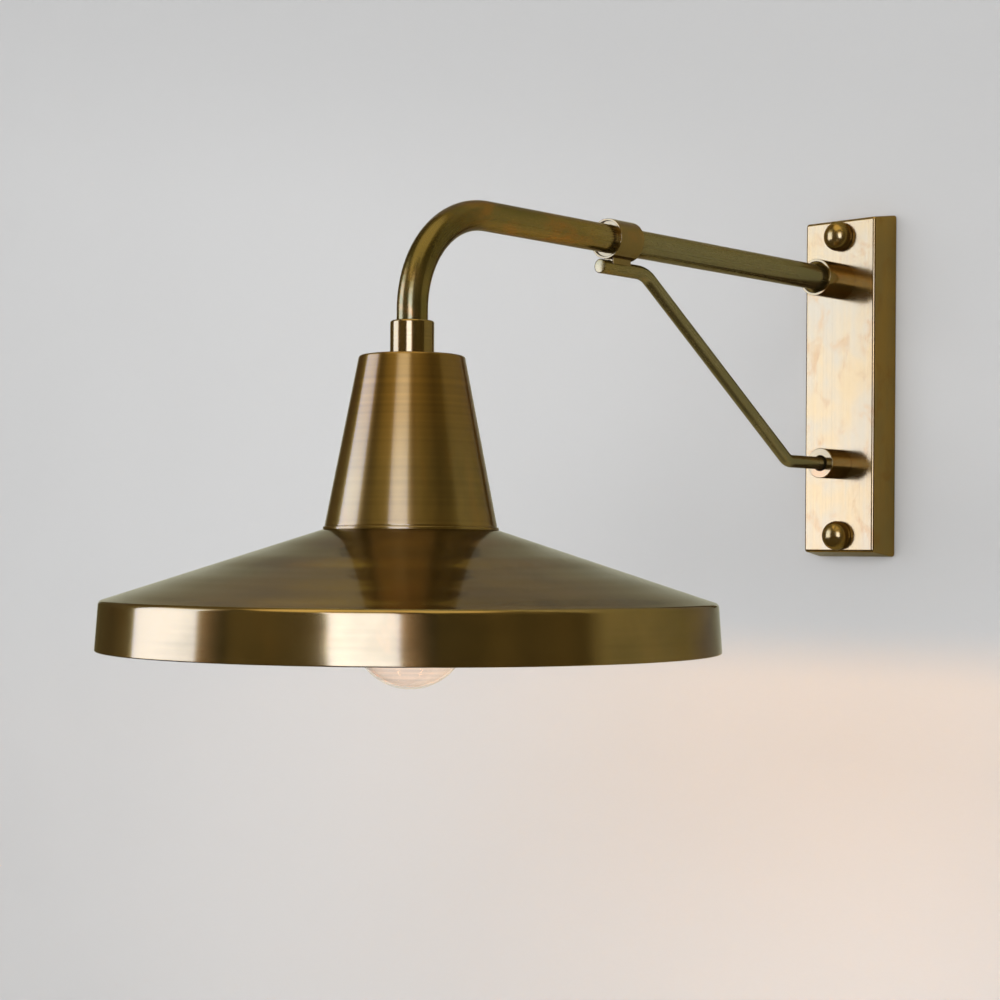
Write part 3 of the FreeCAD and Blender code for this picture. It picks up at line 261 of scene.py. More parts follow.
def plainBody(name, dark, light, roughness, coat=0.0, striped=False):
    # moulded plastic, porcelain or wire insulation
    look = bodyLook
    f = Finish(name)
    place = f.spot()
    cloud = f.noise(place, look["cloudScale"], 3.0, 0.6)
    skin = f.noise(place, look["skinScale"], 3.0, 0.6)
    share = f.ease(cloud * 0.7 + skin * 0.3, *wideSpan)
    if striped:
        # two colours side by side along the wire
        wave = (f.split(place).out("X") * look["stripe"]).math("SINE")
        share = f.ease(wave + skin * 0.15, 0.0, 0.15)
    rough = f.ease(skin * 0.6 + cloud * 0.4, *wideSpan, *roughness)
    f.surface(
        Base_Color=f.blend(dark, light, share), Metallic=0.0, Roughness=rough,
        Normal=f.bump(skin, look["strength"], look["bumpDepth"]), Coat_Weight=coat,
    )
    return f.material


brassTurned = agedBrass("brassTurned")
brassNut = agedBrass("brassNut", deep=(0.21, 0.135, 0.034), roughness=(0.15, 0.21), coat=0.1)
brassPlate = agedBrass(
    "brassPlate", along=True,
    deep=(0.234, 0.158, 0.051), clear=(0.290, 0.174, 0.043), amber=(0.245, 0.130, 0.030), amberShare=0.9,
    coat=0.15, roughness=(0.12, 0.24), patchScale=30.0, patchShape=(1.0, 1.0, 0.7),
    lineScale=700.0, lineShare=0.15, lineBump=0.02,
)
brassDrawn = agedBrass(
    "brassDrawn", along=True,
    deep=(0.130, 0.100, 0.024), clear=(0.240, 0.160, 0.038), amber=(0.310, 0.140, 0.026), amberShare=0.8,
    coat=0.2, roughness=(0.20, 0.30), patchScale=26.0, patchShape=(1.0, 0.45, 0.8),
    lineScale=900.0, lineShare=0.12, lineBump=0.01,
    # painted reflection of the wall near the wall, and painted shade on the top of the bend
    grey=(0.200, 0.172, 0.080), bend=(0.074, 0.052, 0.007),
)
brassNeck = agedBrass(
    "brassNeck", clear=(0.250, 0.156, 0.035), amberShare=0.25,
    roughness=(0.28, 0.33), stretch=0.9, patchShape=(1.0, 1.0, 0.35),
    # crown is painted shade that dims the neck's highlights towards its top
    lineScale=1000.0, lineShare=0.14, lineBump=0.001, crown=(0.195, 0.104, 0.016),
)
brassDish = agedBrass(
    "brassDish", deep=(0.176, 0.115, 0.028), clear=(0.248, 0.160, 0.042), amber=(0.295, 0.143, 0.030),
    amberShare=0.2, edge=(0.30, 0.275, 0.20), roughness=(0.12, 0.17), stretch=0.5,
    patchScale=14.0, lineScale=900.0, lineShare=0.12, lineBump=0.005, ripple=0.0020,
)
brassPlain = agedBrass("brassPlain", mapped=False)
steelZinc = plainMetal("steelZinc", (0.42, 0.43, 0.44), (0.62, 0.63, 0.65), (0.28, 0.46))
contactBrass = plainMetal("contactBrass", (0.52, 0.36, 0.13), (0.72, 0.53, 0.22), (0.22, 0.38))
porcelain = plainBody("porcelain", (0.70, 0.68, 0.63), (0.82, 0.81, 0.77), (0.16, 0.28), coat=0.3)
connectorPlastic = plainBody("connectorPlastic", (0.68, 0.67, 0.63), (0.78, 0.77, 0.73), (0.42, 0.56))
insulations = {
    "live_insulation": plainBody("liveInsulation", (0.20, 0.075, 0.03), (0.26, 0.10, 0.045), (0.38, 0.5)),
    "neutral_insulation": plainBody("neutralInsulation", (0.02, 0.09, 0.33), (0.035, 0.13, 0.42), (0.38, 0.5)),
    "earth_insulation": plainBody(
        "earthInsulation", (0.06, 0.27, 0.05), (0.62, 0.56, 0.05), (0.38, 0.5), striped=True,
    ),
}
blackGlass = plainBody("blackGlass", (0.012, 0.011, 0.012), (0.03, 0.028, 0.03), (0.10, 0.2), coat=0.4)


glassLook = {
    "tones": ((0.98, 0.94, 0.89), (1.0, 0.97, 0.93)),
    "paintedReflection": ((0.012, 0.005, 0.003), (0.064, 0.038, 0.022)),  # painted reflection: warm rings that the glass gives off as light, for the filaments it mirrors
    "waveScale": 38.0, "filmScale": 160.0, "filmSpan": (0.45, 0.75), "ringScale": 430.0,
    "roughness": (0.0, 0.035), "refraction": 1.47, "strength": 0.12, "bumpDepth": 0.0006,
}
filamentLook = {"tones": ((1.0, 0.56, 0.22), (1.0, 0.78, 0.45)), "beadScale": 420.0, "strength": 9.0}


def clearGlass():
    look = glassLook
    f = Finish("clearGlass")
    place = f.spot()
    waves = f.noise(place, look["waveScale"], 2.0)
    film = f.noise(place, look["filmScale"], 3.0, 0.6)
    rings = f.lines(f.split(place).out("Z"), look["ringScale"], 1.0)
    f.surface(
        Base_Color=f.blend(*look["tones"], film), Metallic=0.0,
        Roughness=f.ease(film, *look["filmSpan"], *look["roughness"]),
        Normal=f.bump(waves * 0.7 + rings * 0.3, look["strength"], look["bumpDepth"]),
        Transmission_Weight=1.0, IOR=look["refraction"],
        # painted reflection: the glass glows with warm rings
        Emission_Color=f.blend(*look["paintedReflection"], f.ease(rings, *narrowSpan)), Emission_Strength=1.0,
    )
    return f.material


def hotFilament():
    look = filamentLook
    f = Finish("hotFilament")
    glow = f.blend(*look["tones"], f.ease(f.noise(f.spot(), look["beadScale"], 2.0), *narrowSpan))
    f.surface(Base_Color=glow, Roughness=0.5, Emission_Color=glow, Emission_Strength=look["strength"])
    return f.material


glass = clearGlass()
filamentGlow = hotFilament()
say("finishes made")

longRun, nearEnd = 1.2, 0.22  # a run longer than the first gets a point this near each of its ends


def rounded(corners, steps=6, closed=True):
    # corners are (r, h) or (r, h, radius of the round); straight runs get a point near each end
    points = []
    count = len(corners)
    for number, corner in enumerate(corners):
        here = Vector(corner[:2])
        radius = corner[2] if len(corner) > 2 else 0.0
        inside = closed or 0 < number < count - 1
        if not radius or not inside:
            points.append((here.x, here.y))
            continue
        back = (Vector(corners[number - 1][:2]) - here).normalized()
        ahead = (Vector(corners[(number + 1) % count][:2]) - here).normalized()
        opening = back.angle(ahead)
        cut = radius / math.tan(opening / 2)
        middle = here + (back + ahead).normalized() * (radius / math.sin(opening / 2))
        first, last = here + back * cut - middle, here + ahead * cut - middle
        turn = math.pi - opening
        side = 1 if first.x * last.y - first.y * last.x > 0 else -1
        for step in range(steps + 1):
            angle = side * turn * step / steps
            spin = Vector((first.x * math.cos(angle) - first.y * math.sin(angle),
                           first.x * math.sin(angle) + first.y * math.cos(angle)))
            points.append((middle.x + spin.x, middle.y + spin.y))
    result = []
    pairs = len(points) if closed else len(points) - 1
    for number in range(pairs):
        start, stop = Vector(points[number]), Vector(points[(number + 1) % len(points)])
        result.append(tuple(start))
        run = (stop - start).length
        if run > longRun:
            result.append(tuple(start + (stop - start) * (nearEnd / run)))
            result.append(tuple(start + (stop - start) * (1 - nearEnd / run)))
    if not closed:
        result.append(points[-1])
    return result


def objectFrom(name, data):
    piece = bpy.data.objects.new(name, data)
    bpy.context.scene.collection.objects.link(piece)
    return piece


def hideFrom(piece, *rays):
    for ray in rays:
        setattr(piece, "visible_" + ray, False)


def finishMesh(name, mesh, material, sharp=32.0):
    mesh.materials.append(material)
    mesh.shade_smooth()
    mesh.set_sharp_from_angle(angle=math.radians(sharp))
    return objectFrom(name, mesh)


def meshFrom(name, bm):
    bmesh.ops.remove_doubles(bm, verts=bm.verts, dist=1e-7)
    bmesh.ops.dissolve_degenerate(bm, edges=bm.edges, dist=1e-8)
    bmesh.ops.recalc_face_normals(bm, faces=bm.faces)
    mesh = bpy.data.meshes.new(name)
    bm.to_mesh(mesh)
    bm.free()
    return mesh


def stitch(bm, loops, lengths, around, closedRows=True):
    # quads between neighbouring rings; the map "grain" holds metres along and around
    grain = bm.loops.layers.uv.new("grain")
    rows = len(loops) if closedRows else len(loops) - 1
    count = len(loops[0])
    for row in range(rows):
        after = (row + 1) % len(loops)
        for step in range(count):
            ahead = (step + 1) % count
            corners = [(loops[row][step], row, step), (loops[row][ahead], row, step + 1),
                       (loops[after][ahead], row + 1, step + 1), (loops[after][step], row + 1, step)]
            face = bm.faces.new([corner[0] for corner in corners])
            for loop, (vertex, line, place) in zip(face.loops, corners):
                loop[grain].uv = (lengths[line], around * place / count)


def runLengths(points):
    # metres along a closed outline, at each of its points and back at the first
    total, lengths = 0.0, [0.0]
    for start, stop in zip(points, points[1:] + points[:1]):
        total += (Vector(stop) - Vector(start)).length * mm
        lengths.append(total)
    return lengths


def turnedPiece(name, profile, material, axis="up", level=0.0, segments=192, shape=None, sharp=32.0):
    # a lathe form: axis "up" stands on the shade's axis, "out" on a level of the wall
    bm = bmesh.new()
    loops = []
    for r, h in profile:
        ring = []
        for step in range(segments):
            angle = 2 * math.pi * step / segments
            radius = shape(r, h, angle) if shape else r
            x, y = radius * math.cos(angle), radius * math.sin(angle)
            place = (x, shadeAxis + y, h) if axis == "up" else (x, h, level + y)
            ring.append(bm.verts.new(Vector(place) * mm))
        loops.append(ring)
    widest = max(r for r, h in profile)
    stitch(bm, loops, runLengths(profile), 2 * math.pi * widest * mm)
    return finishMesh(name, meshFrom(name, bm), material, sharp)


def bentPath(corners):
    # (y, z) corners with a bend radius each, as points and directions along the centre line
    points = rounded([(y, z, r) if r else (y, z) for y, z, r in corners], steps=28, closed=False)
    places = [Vector((0, y, z)) for y, z in points]
    path = []
    for number, place in enumerate(places):
        ahead = places[min(number + 1, len(places) - 1)]
        behind = places[max(number - 1, 0)]
        direction = ((place - behind).normalized() + (ahead - place).normalized()).normalized()
        path.append((place, direction))
    return path


def pipePiece(name, path, section, material, segments=64):
    # section is a closed list of rings: number of the path's point, shift along the path, radius
    bm = bmesh.new()
    loops, marks = [], [0.0]
    for behind, ahead in zip(path, path[1:]):
        marks.append(marks[-1] + (ahead[0] - behind[0]).length)
    for number, shift, radius in section:
        place, direction = path[number]
        centre = place + direction * shift
        side = Vector((1, 0, 0))
        up = direction.cross(side).normalized()
        ring = []
        for step in range(segments):
            angle = 2 * math.pi * step / segments
            ring.append(bm.verts.new((centre + (side * math.cos(angle) + up * math.sin(angle)) * radius) * mm))
        loops.append(ring)
    lengths = [marks[number] * mm + shift * mm for number, shift, radius in section]
    lengths.append(lengths[-1])
    widest = max(radius for number, shift, radius in section)
    stitch(bm, loops, lengths, 2 * math.pi * widest * mm)
    return finishMesh(name, meshFrom(name, bm), material)


def settle(piece, body, slot, *nodes):
    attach(piece, body)
    if nodes:
        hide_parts(*nodes)


cover = {
    "halfWidth": 29.5, "halfHeight": 111.0, "depth": 21.0, "wall": 2.5,
    "sideDraft": 3.1, "endDraft": 3.0,  # how far sides and ends lean in from back to front
    "round": 1.9, "frontSteps": 8, "cornerSteps": 6, "innerCorner": 0.6, "innerFaceCorner": 0.3,
    "backEdge": 0.35, "nearBack": 0.5, "nearRound": 0.6, "nearFace": 0.4,  # rows that hold an edge
    "faceCorner": 0.02,
}


def makeCover():
    c = cover
    edge, wall, radius = c["backEdge"], c["wall"], c["round"]
    hub, inner = c["depth"] - radius, c["depth"] - wall
    bm = bmesh.new()

    def loopAt(halfWidth, halfHeight, corner, depth):
        ring = []
        for sideX, sideZ, start in ((1, 1, 0), (-1, 1, 90), (-1, -1, 180), (1, -1, 270)):
            for step in range(c["cornerSteps"] + 1):
                angle = math.radians(start + 90 * step / c["cornerSteps"])
                x = sideX * (halfWidth - corner) + corner * math.cos(angle)
                z = sideZ * (halfHeight - corner) + corner * math.sin(angle)
                ring.append(bm.verts.new(Vector((x, -depth, z)) * mm))
        return ring

    def halves(depth, inset=0.0):
        share = depth / c["depth"]
        return (c["halfWidth"] - c["sideDraft"] * share - inset, c["halfHeight"] - c["endDraft"] * share - inset)

    rows = [(*halves(0, edge), radius, 0.0)]
    rows += [(*halves(depth), radius, depth) for depth in (edge, edge + c["nearBack"], hub - c["nearRound"])]
    lean = math.atan(c["sideDraft"] / c["depth"])
    width, height = halves(hub)
    for step in range(c["frontSteps"] + 1):
        angle = lean + (math.pi / 2 - lean) * step / c["frontSteps"]
        out = radius * math.cos(angle) - radius / math.cos(lean)
        corner = max(radius * math.cos(angle), c["faceCorner"])
        rows.append((width + out, height + out, corner, hub + radius * math.sin(angle)))
    width, height = rows[-1][:2]
    rows.append((width - c["nearFace"], height - c["nearFace"], c["faceCorner"], c["depth"]))
    insideRows = [
        (*halves(0, wall - edge), c["innerCorner"], 0.0), (*halves(0, wall), c["innerCorner"], edge),
        (*halves(inner - c["nearFace"], wall), c["innerCorner"], inner - c["nearFace"]),
        (*halves(inner, wall + c["nearFace"]), c["innerFaceCorner"], inner),
    ]
    outside = [loopAt(*row) for row in rows]
    bm.faces.new(outside[-1])
    inside = [loopAt(*row) for row in insideRows]
    bm.faces.new(inside[-1])
    order = outside[::-1] + inside
    for first, second in zip(order, order[1:]):
        for step in range(len(first)):
            ahead = (step + 1) % len(first)
            bm.faces.new((first[step], first[ahead], second[ahead], second[step]))
    grain = bm.loops.layers.uv.new("grain")
    for face in bm.faces:
        for loop in face.loops:
            place = loop.vert.co
            loop[grain].uv = (place.z, place.x + place.y)
    return finishMesh("coverPlate", meshFrom("coverPlate", bm), brassPlate)


settle(makeCover(), "light", "aged_brass", "back_plate")

thumbNut = {
    "base": -21.5, "radius": 9.5, "skirt": 1.5, "bevel": 0.4, "crown": 7.6, "rise": 2.8, "steps": 12,
    "bore": 2.55, "boreDepth": 8.6, "boreTip": 1.2, "flutes": 40, "fluteDepth": 0.34,
    "edge": 0.02,  # room left below the flank's first row
    "shoulderGap": 0.2,  # the same above its last, as a share of a step
}


def nutProfile():
    n = thumbNut
    base, radius, crown, steps = n["base"], n["radius"], n["crown"], n["steps"]
    waist = base - n["skirt"]
    limit = math.acos(crown / radius)
    shoulder = waist - radius * math.sin(limit)
    ball = (crown ** 2 + n["rise"] ** 2) / (2 * n["rise"])
    peak = shoulder - n["rise"]
    points = [(n["bore"], base), (radius - n["bevel"], base), (radius, base - n["bevel"])]
    points.append((radius, waist + n["edge"]))
    for step in range(steps + 1):
        angle = limit * step / steps
        points.append((radius * math.cos(angle), waist - radius * math.sin(angle)))
    widest = math.asin(crown / ball)
    for step in range(1, steps + 1):
        angle = widest * (1 - (step + n["shoulderGap"]) / (steps + 1 + n["shoulderGap"]))
        points.append((ball * math.sin(angle), peak + ball - ball * math.cos(angle)))
    top = base - n["boreDepth"]
    return points + [(0.0, peak), (0.0, top), (n["bore"], top + n["boreTip"])]


def fluted(r, h, angle):
    # round-bottomed flutes on the ball-shaped flank
    n = thumbNut
    if r < n["crown"] - n["edge"] / 2 or h > n["base"] - n["skirt"] + n["edge"] / 2:
        return r
    wave = 0.5 - 0.5 * math.cos(angle * n["flutes"])
    return r - n["fluteDepth"] * n["radius"] / r * wave ** 2


for label, level in (("top", nutLevel), ("bottom", -nutLevel)):
    nut = turnedPiece(label + "ThumbNut", nutProfile(), brassNut, "out", level, 480, shape=fluted, sharp=40.0)
    settle(nut, label + "_nut", "aged_brass", label + "_thumb_nut")
say("cover and nuts made")

armSocket = {
    "radius": 11.7, "front": -49.5, "foot": -21.0, "lip": 1.5, "lipLean": 0.15, "lipDepth": 0.9, "seat": 8.0,
    "mouth": 1.9, "bore": 4.5, "neck": 6.5, "tubeStart": -27.5, "neckEnd": -13.5,
    "round": 0.25, "lipRound": 0.1, "neckRound": 0.3, "footRound": 0.15,
}
strutSocket = {
    "radius": 9.7, "front": -42.7, "foot": -21.0, "seat": 4.0, "mouth": 5.1, "mouthDepth": 1.8,
    "rodStart": -28.7, "neck": 4.0, "neckEnd": -12.5,
    "round": 0.45, "mouthRound": 0.3, "neckRound": 0.3, "footRound": 0.15,
}


def makeSockets():
    a, b = armSocket, strutSocket
    lip = a["radius"] - a["lip"]
    profile = rounded([
        (a["bore"], a["neckEnd"]), (a["neck"], a["neckEnd"], a["neckRound"]), (a["neck"], a["foot"]),
        (a["radius"], a["foot"], a["footRound"]), (a["radius"], a["front"], a["round"]),
        (lip, a["front"], a["lipRound"]), (lip - a["lipLean"], a["front"] + a["lipDepth"]),
        (a["seat"], a["front"] + a["mouth"]), (a["seat"], a["tubeStart"]), (a["bore"], a["tubeStart"]),
    ])
    settle(turnedPiece("armSocket", profile, brassTurned, "out", armLevel), "light", "aged_brass", "arm_boss")
    profile = rounded([
        (0.0, b["neckEnd"]), (b["neck"], b["neckEnd"], b["neckRound"]), (b["neck"], b["foot"]),
        (b["radius"], b["foot"], b["footRound"]), (b["radius"], b["front"], b["round"]),
        (b["mouth"], b["front"], b["mouthRound"]), (b["seat"], b["front"] + b["mouthDepth"]),
        (b["seat"], b["rodStart"]), (0.0, b["rodStart"]),
    ])
    piece = turnedPiece("strutSocket", profile, brassTurned, "out", strutLevel)
    settle(piece, "light", "aged_brass", "strut_boss")


makeSockets()

tube = {"radius": 8.0, "wall": 1.5, "start": -27.5, "bend": 54.4, "end": -2.0}


def makeTube():
    t = tube
    path = bentPath([(t["start"], armLevel, 0), (shadeAxis, armLevel, t["bend"]), (shadeAxis, t["end"], 0)])
    section = [(number, 0.0, t["radius"]) for number in range(len(path))]
    section += [(number, 0.0, t["radius"] - t["wall"]) for number in reversed(range(len(path)))]
    return pipePiece("armTube", path, section, brassDrawn, segments=96)


rod = {
    "radius": 4.0, "drop": 16.1, "front": -264.9, "upper": -224.9, "lower": -79.1, "end": -28.7,
    "upperBend": 20.0, "lowerBend": 12.0,
    "frontEdge": ((0.0, 0.6), (0.12, 0.275), (0.5, 0.0)),  # shift along the rod and inset of each row
}


def makeRod():
    r = rod
    level = armLevel - r["drop"]
    path = bentPath([(r["front"], level, 0), (r["upper"], level, r["upperBend"]),
                     (r["lower"], strutLevel, r["lowerBend"]), (r["end"], strutLevel, 0)])
    section = [(0, 0.0, 0.0)] + [(0, shift, r["radius"] - inset) for shift, inset in r["frontEdge"]]
    section += [(number, 0.0, r["radius"]) for number in range(1, len(path))]
    section += [(len(path) - 1, 0.0, 0.0)]
    return pipePiece("braceRod", path, section, brassDrawn)


collar = {
    "front": -259.5, "back": -239.0, "radius": 11.4, "lip": 1.3, "seat": 8.0, "mouth": 1.2,
    "round": 0.25, "lipRound": 0.2, "mouthRound": 0.25, "seatRound": 0.15,
}


def makeCollar():
    c = collar
    lip, front, back = c["radius"] - c["lip"], c["front"], c["back"]
    profile = rounded([
        (c["radius"], back, c["round"]), (c["radius"], front, c["round"]),
        (lip, front, c["lipRound"]), (lip, front + c["mouth"], c["mouthRound"]),
        (c["seat"], front + c["mouth"], c["seatRound"]), (c["seat"], back - c["mouth"], c["seatRound"]),
        (lip, back - c["mouth"], c["mouthRound"]), (lip, back, c["lipRound"]),
    ])
    return turnedPiece("armCollar", profile, brassTurned, "out", armLevel)


saddle = {
    "width": 7.0, "length": 16.0, "steps": 12, "girth": 30.0,
    "edge": ((0.0, 0.5), (0.12, 0.2), (0.5, 0.0)),  # shift along the arm and inset of each row
}


def makeSaddle():
    # the block between collar and rod: its foot is hollowed to the rod
    d = saddle
    half, reach = d["width"] / 2, d["length"] / 2
    level = armLevel - rod["drop"]
    top = armLevel - (collar["seat"] + collar["radius"]) / 2
    centre = (collar["front"] + collar["back"]) / 2
    widest = math.asin(half / rod["radius"])
    stations = [(shift - reach, inset) for shift, inset in d["edge"]]
    stations += [(reach - shift, inset) for shift, inset in reversed(d["edge"])]
    bm = bmesh.new()
    loops = []
    for shift, inset in stations:
        ring = []
        for step in range(d["steps"] + 1):
            angle = -widest + 2 * widest * step / d["steps"]
            x = (rod["radius"] + inset) * math.sin(angle) * (half - inset) / half
            z = level + (rod["radius"] + inset * 0.5) * math.cos(angle)
            ring.append(bm.verts.new(Vector((x, centre + shift, z)) * mm))
        for x in (half - inset, inset - half):
            ring.append(bm.verts.new(Vector((x, centre + shift, top)) * mm))
        loops.append(ring)
    stitch(bm, loops, [mm * (shift + reach) for shift, inset in stations], d["girth"] * mm, False)
    bm.faces.new(loops[0])
    bm.faces.new(loops[-1])
    return finishMesh("armSaddle", meshFrom("armSaddle", bm), brassTurned)


settle(makeTube(), "light", "aged_brass", "arm_tube")
settle(makeRod(), "light", "aged_brass", "strut_rod")
settle(makeCollar(), "light", "aged_brass", "strut_collar")
settle(makeSaddle(), "light", "aged_brass")
say("arm made")

coupler = {
    "radius": 11.25, "top": 8.0, "foot": -10.0, "groove": 0.6, "seat": 8.0, "tubeEnd": -2.0, "thread": 5.0,
    "round": 1.2, "grooveRound": 0.2, "footRound": 0.25,
}


def makeCoupler():
    c = coupler
    profile = rounded([
        (c["thread"], c["foot"]), (c["radius"], c["foot"], c["footRound"]), (c["radius"], c["top"], c["round"]),
        (c["seat"] + c["groove"], c["top"], c["grooveRound"]), (c["seat"] + c["groove"], c["top"] - c["round"]),
        (c["seat"], c["top"] - c["round"]), (c["seat"], c["tubeEnd"]), (c["thread"], c["tubeEnd"]),
    ])
    return turnedPiece("shadeCoupler", profile, brassTurned)


neck = {
    "top": -10.0, "foot": -98.5, "topRadius": 27.0, "footRadius": 44.3, "wall": 1.0, "bore": 5.0,
    "bead": 0.5, "beadHeight": 1.5, "beadLean": 0.8, "groove": 0.3, "grooveRun": 0.8,
    "round": 1.4, "insideRound": 0.6, "beadRound": 0.2, "beadTopRound": 0.4,
}


def makeNeck():
    n = neck
    wall, top, foot, radius, bead = n["wall"], n["top"], n["foot"], n["footRadius"], n["bead"]
    slope = (radius - n["topRadius"]) / (top - foot)
    grooveLevel = foot + n["beadHeight"]
    profile = rounded([
        (n["bore"], top), (n["bore"], top - wall), (n["topRadius"] - wall, top - wall, n["insideRound"]),
        (radius - wall, foot), (radius + bead, foot, n["beadRound"]),
        (radius + bead * n["beadLean"], grooveLevel, n["beadTopRound"]),
        (radius - slope * n["beadHeight"] - n["groove"], grooveLevel),
        (radius - slope * (n["beadHeight"] + n["grooveRun"]), grooveLevel + n["grooveRun"]),
        (n["topRadius"], top, n["round"]),
    ], steps=8)
    return turnedPiece("shadeNeck", profile, brassNeck, segments=256)


dish = {
    "collar": 6.0, "gap": 0.2, "rimTop": 156.3, "rimFoot": 158.1, "drop": 36.5, "rimHeight": 24.7,
    "upright": 1.05,  # the sloping wall measured upright, in wall thicknesses
    "hem": 2.4, "hemHeight": 3.0, "hemStep": 0.4,
    "round": 2.6, "insideRound": 0.5,
    "hemRound": 0.55, "hemTopRound": 0.6, "hemStepRound": 0.8, "hemInsideRound": 1.1,
}


def makeDish():
    d, n = dish, neck
    wall, foot, level = n["wall"], n["footRadius"], n["foot"]
    sheet = wall * d["upright"]
    inner = foot - wall - d["gap"]
    slope = (foot - n["topRadius"]) / (n["top"] - n["foot"] - wall)
    ledge, rim, edge = foot + n["bead"], d["rimTop"], d["rimFoot"]
    rimLevel, bottom = level - d["drop"], level - d["drop"] - d["rimHeight"]
    fall = d["drop"] / (rim - ledge)
    flare = (edge - rim) / d["rimHeight"]
    hemTop = bottom + d["hemHeight"]
    profile = rounded([
        (inner - slope * d["collar"] - wall, level + d["collar"]), (inner - wall, level - wall),
        (ledge, level - sheet), (rim - wall, rimLevel + fall * wall - sheet, d["insideRound"]),
        (edge - wall - flare * d["hemHeight"], hemTop, d["hemTopRound"]),
        (edge - d["hem"], hemTop - d["hemStep"], d["hemStepRound"]),
        (edge - d["hem"], bottom, d["hemInsideRound"]), (edge, bottom, d["hemRound"]),
        (rim, rimLevel, d["round"]),
        (ledge, level), (inner, level), (inner - slope * d["collar"], level + d["collar"]),
    ], steps=8)
    return turnedPiece("shadeDish", profile, brassDish, segments=384)


settle(makeCoupler(), "light", "aged_brass", "shade_coupler")
settle(makeNeck(), "light", "aged_brass", "shade_neck")
settle(makeDish(), "light", "aged_brass", "shade_dish")
say("shade made")

holder = {
    "top": -28.0, "shoulder": -37.0, "capFoot": -55.0, "skirtFoot": -97.0, "radius": 20.0, "wall": 1.2,
    "bend": 6.0, "entry": 8.0, "thread": 5.0, "mouth": 15.5, "overlap": 4.0, "coreTop": -56.0,
    "ceiling": -70.0, "bore": 14.4,
    "capRound": 0.35, "entryRound": 0.5, "topRound": 0.4, "mouthRound": 0.3, "skirtRound": 1.0,
    "boreRound": 0.6, "coreRound": 0.3, "coreTopRound": 0.8,
}


def makeHolder():
    h = holder
    outer, wall = h["radius"], h["wall"]
    cap = rounded([
        (h["thread"], h["shoulder"] - wall), (outer - wall, h["shoulder"] - wall, h["bend"] - wall),
        (outer - wall, h["capFoot"]), (outer, h["capFoot"], h["capRound"]), (outer, h["shoulder"], h["bend"]),
        (h["entry"], h["shoulder"], h["entryRound"]), (h["entry"], h["top"], h["topRound"]),
        (h["thread"], h["top"]),
    ], steps=8)
    settle(turnedPiece("holderCap", cap, brassTurned), "light", "aged_brass", "lampholder_cap")
    inner, ledge, lapTop = outer - wall * 2, h["skirtFoot"] + wall, h["capFoot"] + h["overlap"]
    skirt = rounded([
        (inner, lapTop), (inner, ledge), (h["mouth"], ledge), (h["mouth"], h["skirtFoot"], h["mouthRound"]),
        (outer - wall, h["skirtFoot"], h["skirtRound"]), (outer - wall, lapTop),
    ])
    settle(turnedPiece("holderSkirt", skirt, brassTurned), "light", "aged_brass", "lampholder_skirt")
    core = rounded([
        (0.0, h["ceiling"]), (h["bore"], h["ceiling"]), (h["bore"], ledge, h["boreRound"]),
        (inner, ledge, h["coreRound"]), (inner, h["coreTop"], h["coreTopRound"]), (0.0, h["coreTop"]),
    ], steps=5)
    settle(turnedPiece("holderCore", core, porcelain, segments=128), "light", "porcelain", "lampholder_core")


makeHolder()

bulb = {
    "rim": -101.6, "glassTop": -95.8, "bottom": -179.6, "radius": 30.0, "neck": 12.8, "wall": 0.8,
    "throatSteps": 18, "ballSteps": 40,
}


def makeGlass():
    b = bulb
    level = b["bottom"] + b["radius"]
    height = b["rim"] - level
    # the throat is an arc that meets the ball without a corner
    throat = (b["neck"] ** 2 + height ** 2 - b["radius"] ** 2) / (2 * (b["radius"] - b["neck"]))
    throatX = b["neck"] + throat
    meet = math.atan2(height, throatX)

    def skin(offset):
        # from the open end down to the pole, offset inwards
        points = [(b["neck"] - offset, b["glassTop"])]
        radius, ball = throat + offset, b["radius"] - offset
        for step in range(b["throatSteps"] + 1):
            angle = math.pi + meet * step / b["throatSteps"]
            points.append((throatX + radius * math.cos(angle), b["rim"] + radius * math.sin(angle)))
        for step in range(1, b["ballSteps"] + 1):
            angle = meet + (-math.pi / 2 - meet) * step / b["ballSteps"]
            points.append((max(ball * math.cos(angle), 0.0), level + ball * math.sin(angle)))
        return points

    piece = turnedPiece("bulbGlass", skin(0.0) + skin(b["wall"])[::-1], glass)
    hideFrom(piece, "shadow")
    return piece


settle(makeGlass(), "bulb", "clear_glass", "bulb_glass")
say("bulb made")

# the nodes that are carried over get a finish by their slot
slotFinish = {
    "aged_brass": brassPlain, "contact_brass": contactBrass, "steel": steelZinc, "porcelain": porcelain,
    "connector_plastic": connectorPlastic, "clear_glass": glass, "black_glass": blackGlass,
    "filament": filamentGlow, **insulations,
}
nodeSlots = {row["node"]: row["material_slot"] for row in frame["record"]["subparts"]}
for label, node in frame["nodes"].items():
    finish = slotFinish.get(nodeSlots.get(label))
    if finish:
        node.data.materials.clear()
        node.data.materials.append(finish)
say("carried nodes finished")

shot = {
    "place": (0.73259, -1.14123, -0.10939), "heading": 42.661, "roll": 0.367,
    "lens": 72.9, "sensor": 36.0, "shiftY": 0.05187, "near": 0.02,
}


def makeCamera():
    data = bpy.data.cameras.new("camera")
    data.lens = shot["lens"]
    data.sensor_width = shot["sensor"]
    data.shift_y = shot["shiftY"]
    data.clip_start = shot["near"]
    camera = objectFrom("camera", data)
    turn = Matrix.Rotation(math.radians(shot["heading"]), 4, "Z") @ Matrix.Rotation(math.radians(90), 4, "X")
    turn = turn @ Matrix.Rotation(math.radians(shot["roll"]), 4, "Z")
    camera.matrix_world = Matrix.Translation(shot["place"]) @ turn
    bpy.context.scene.camera = camera


makeCamera()

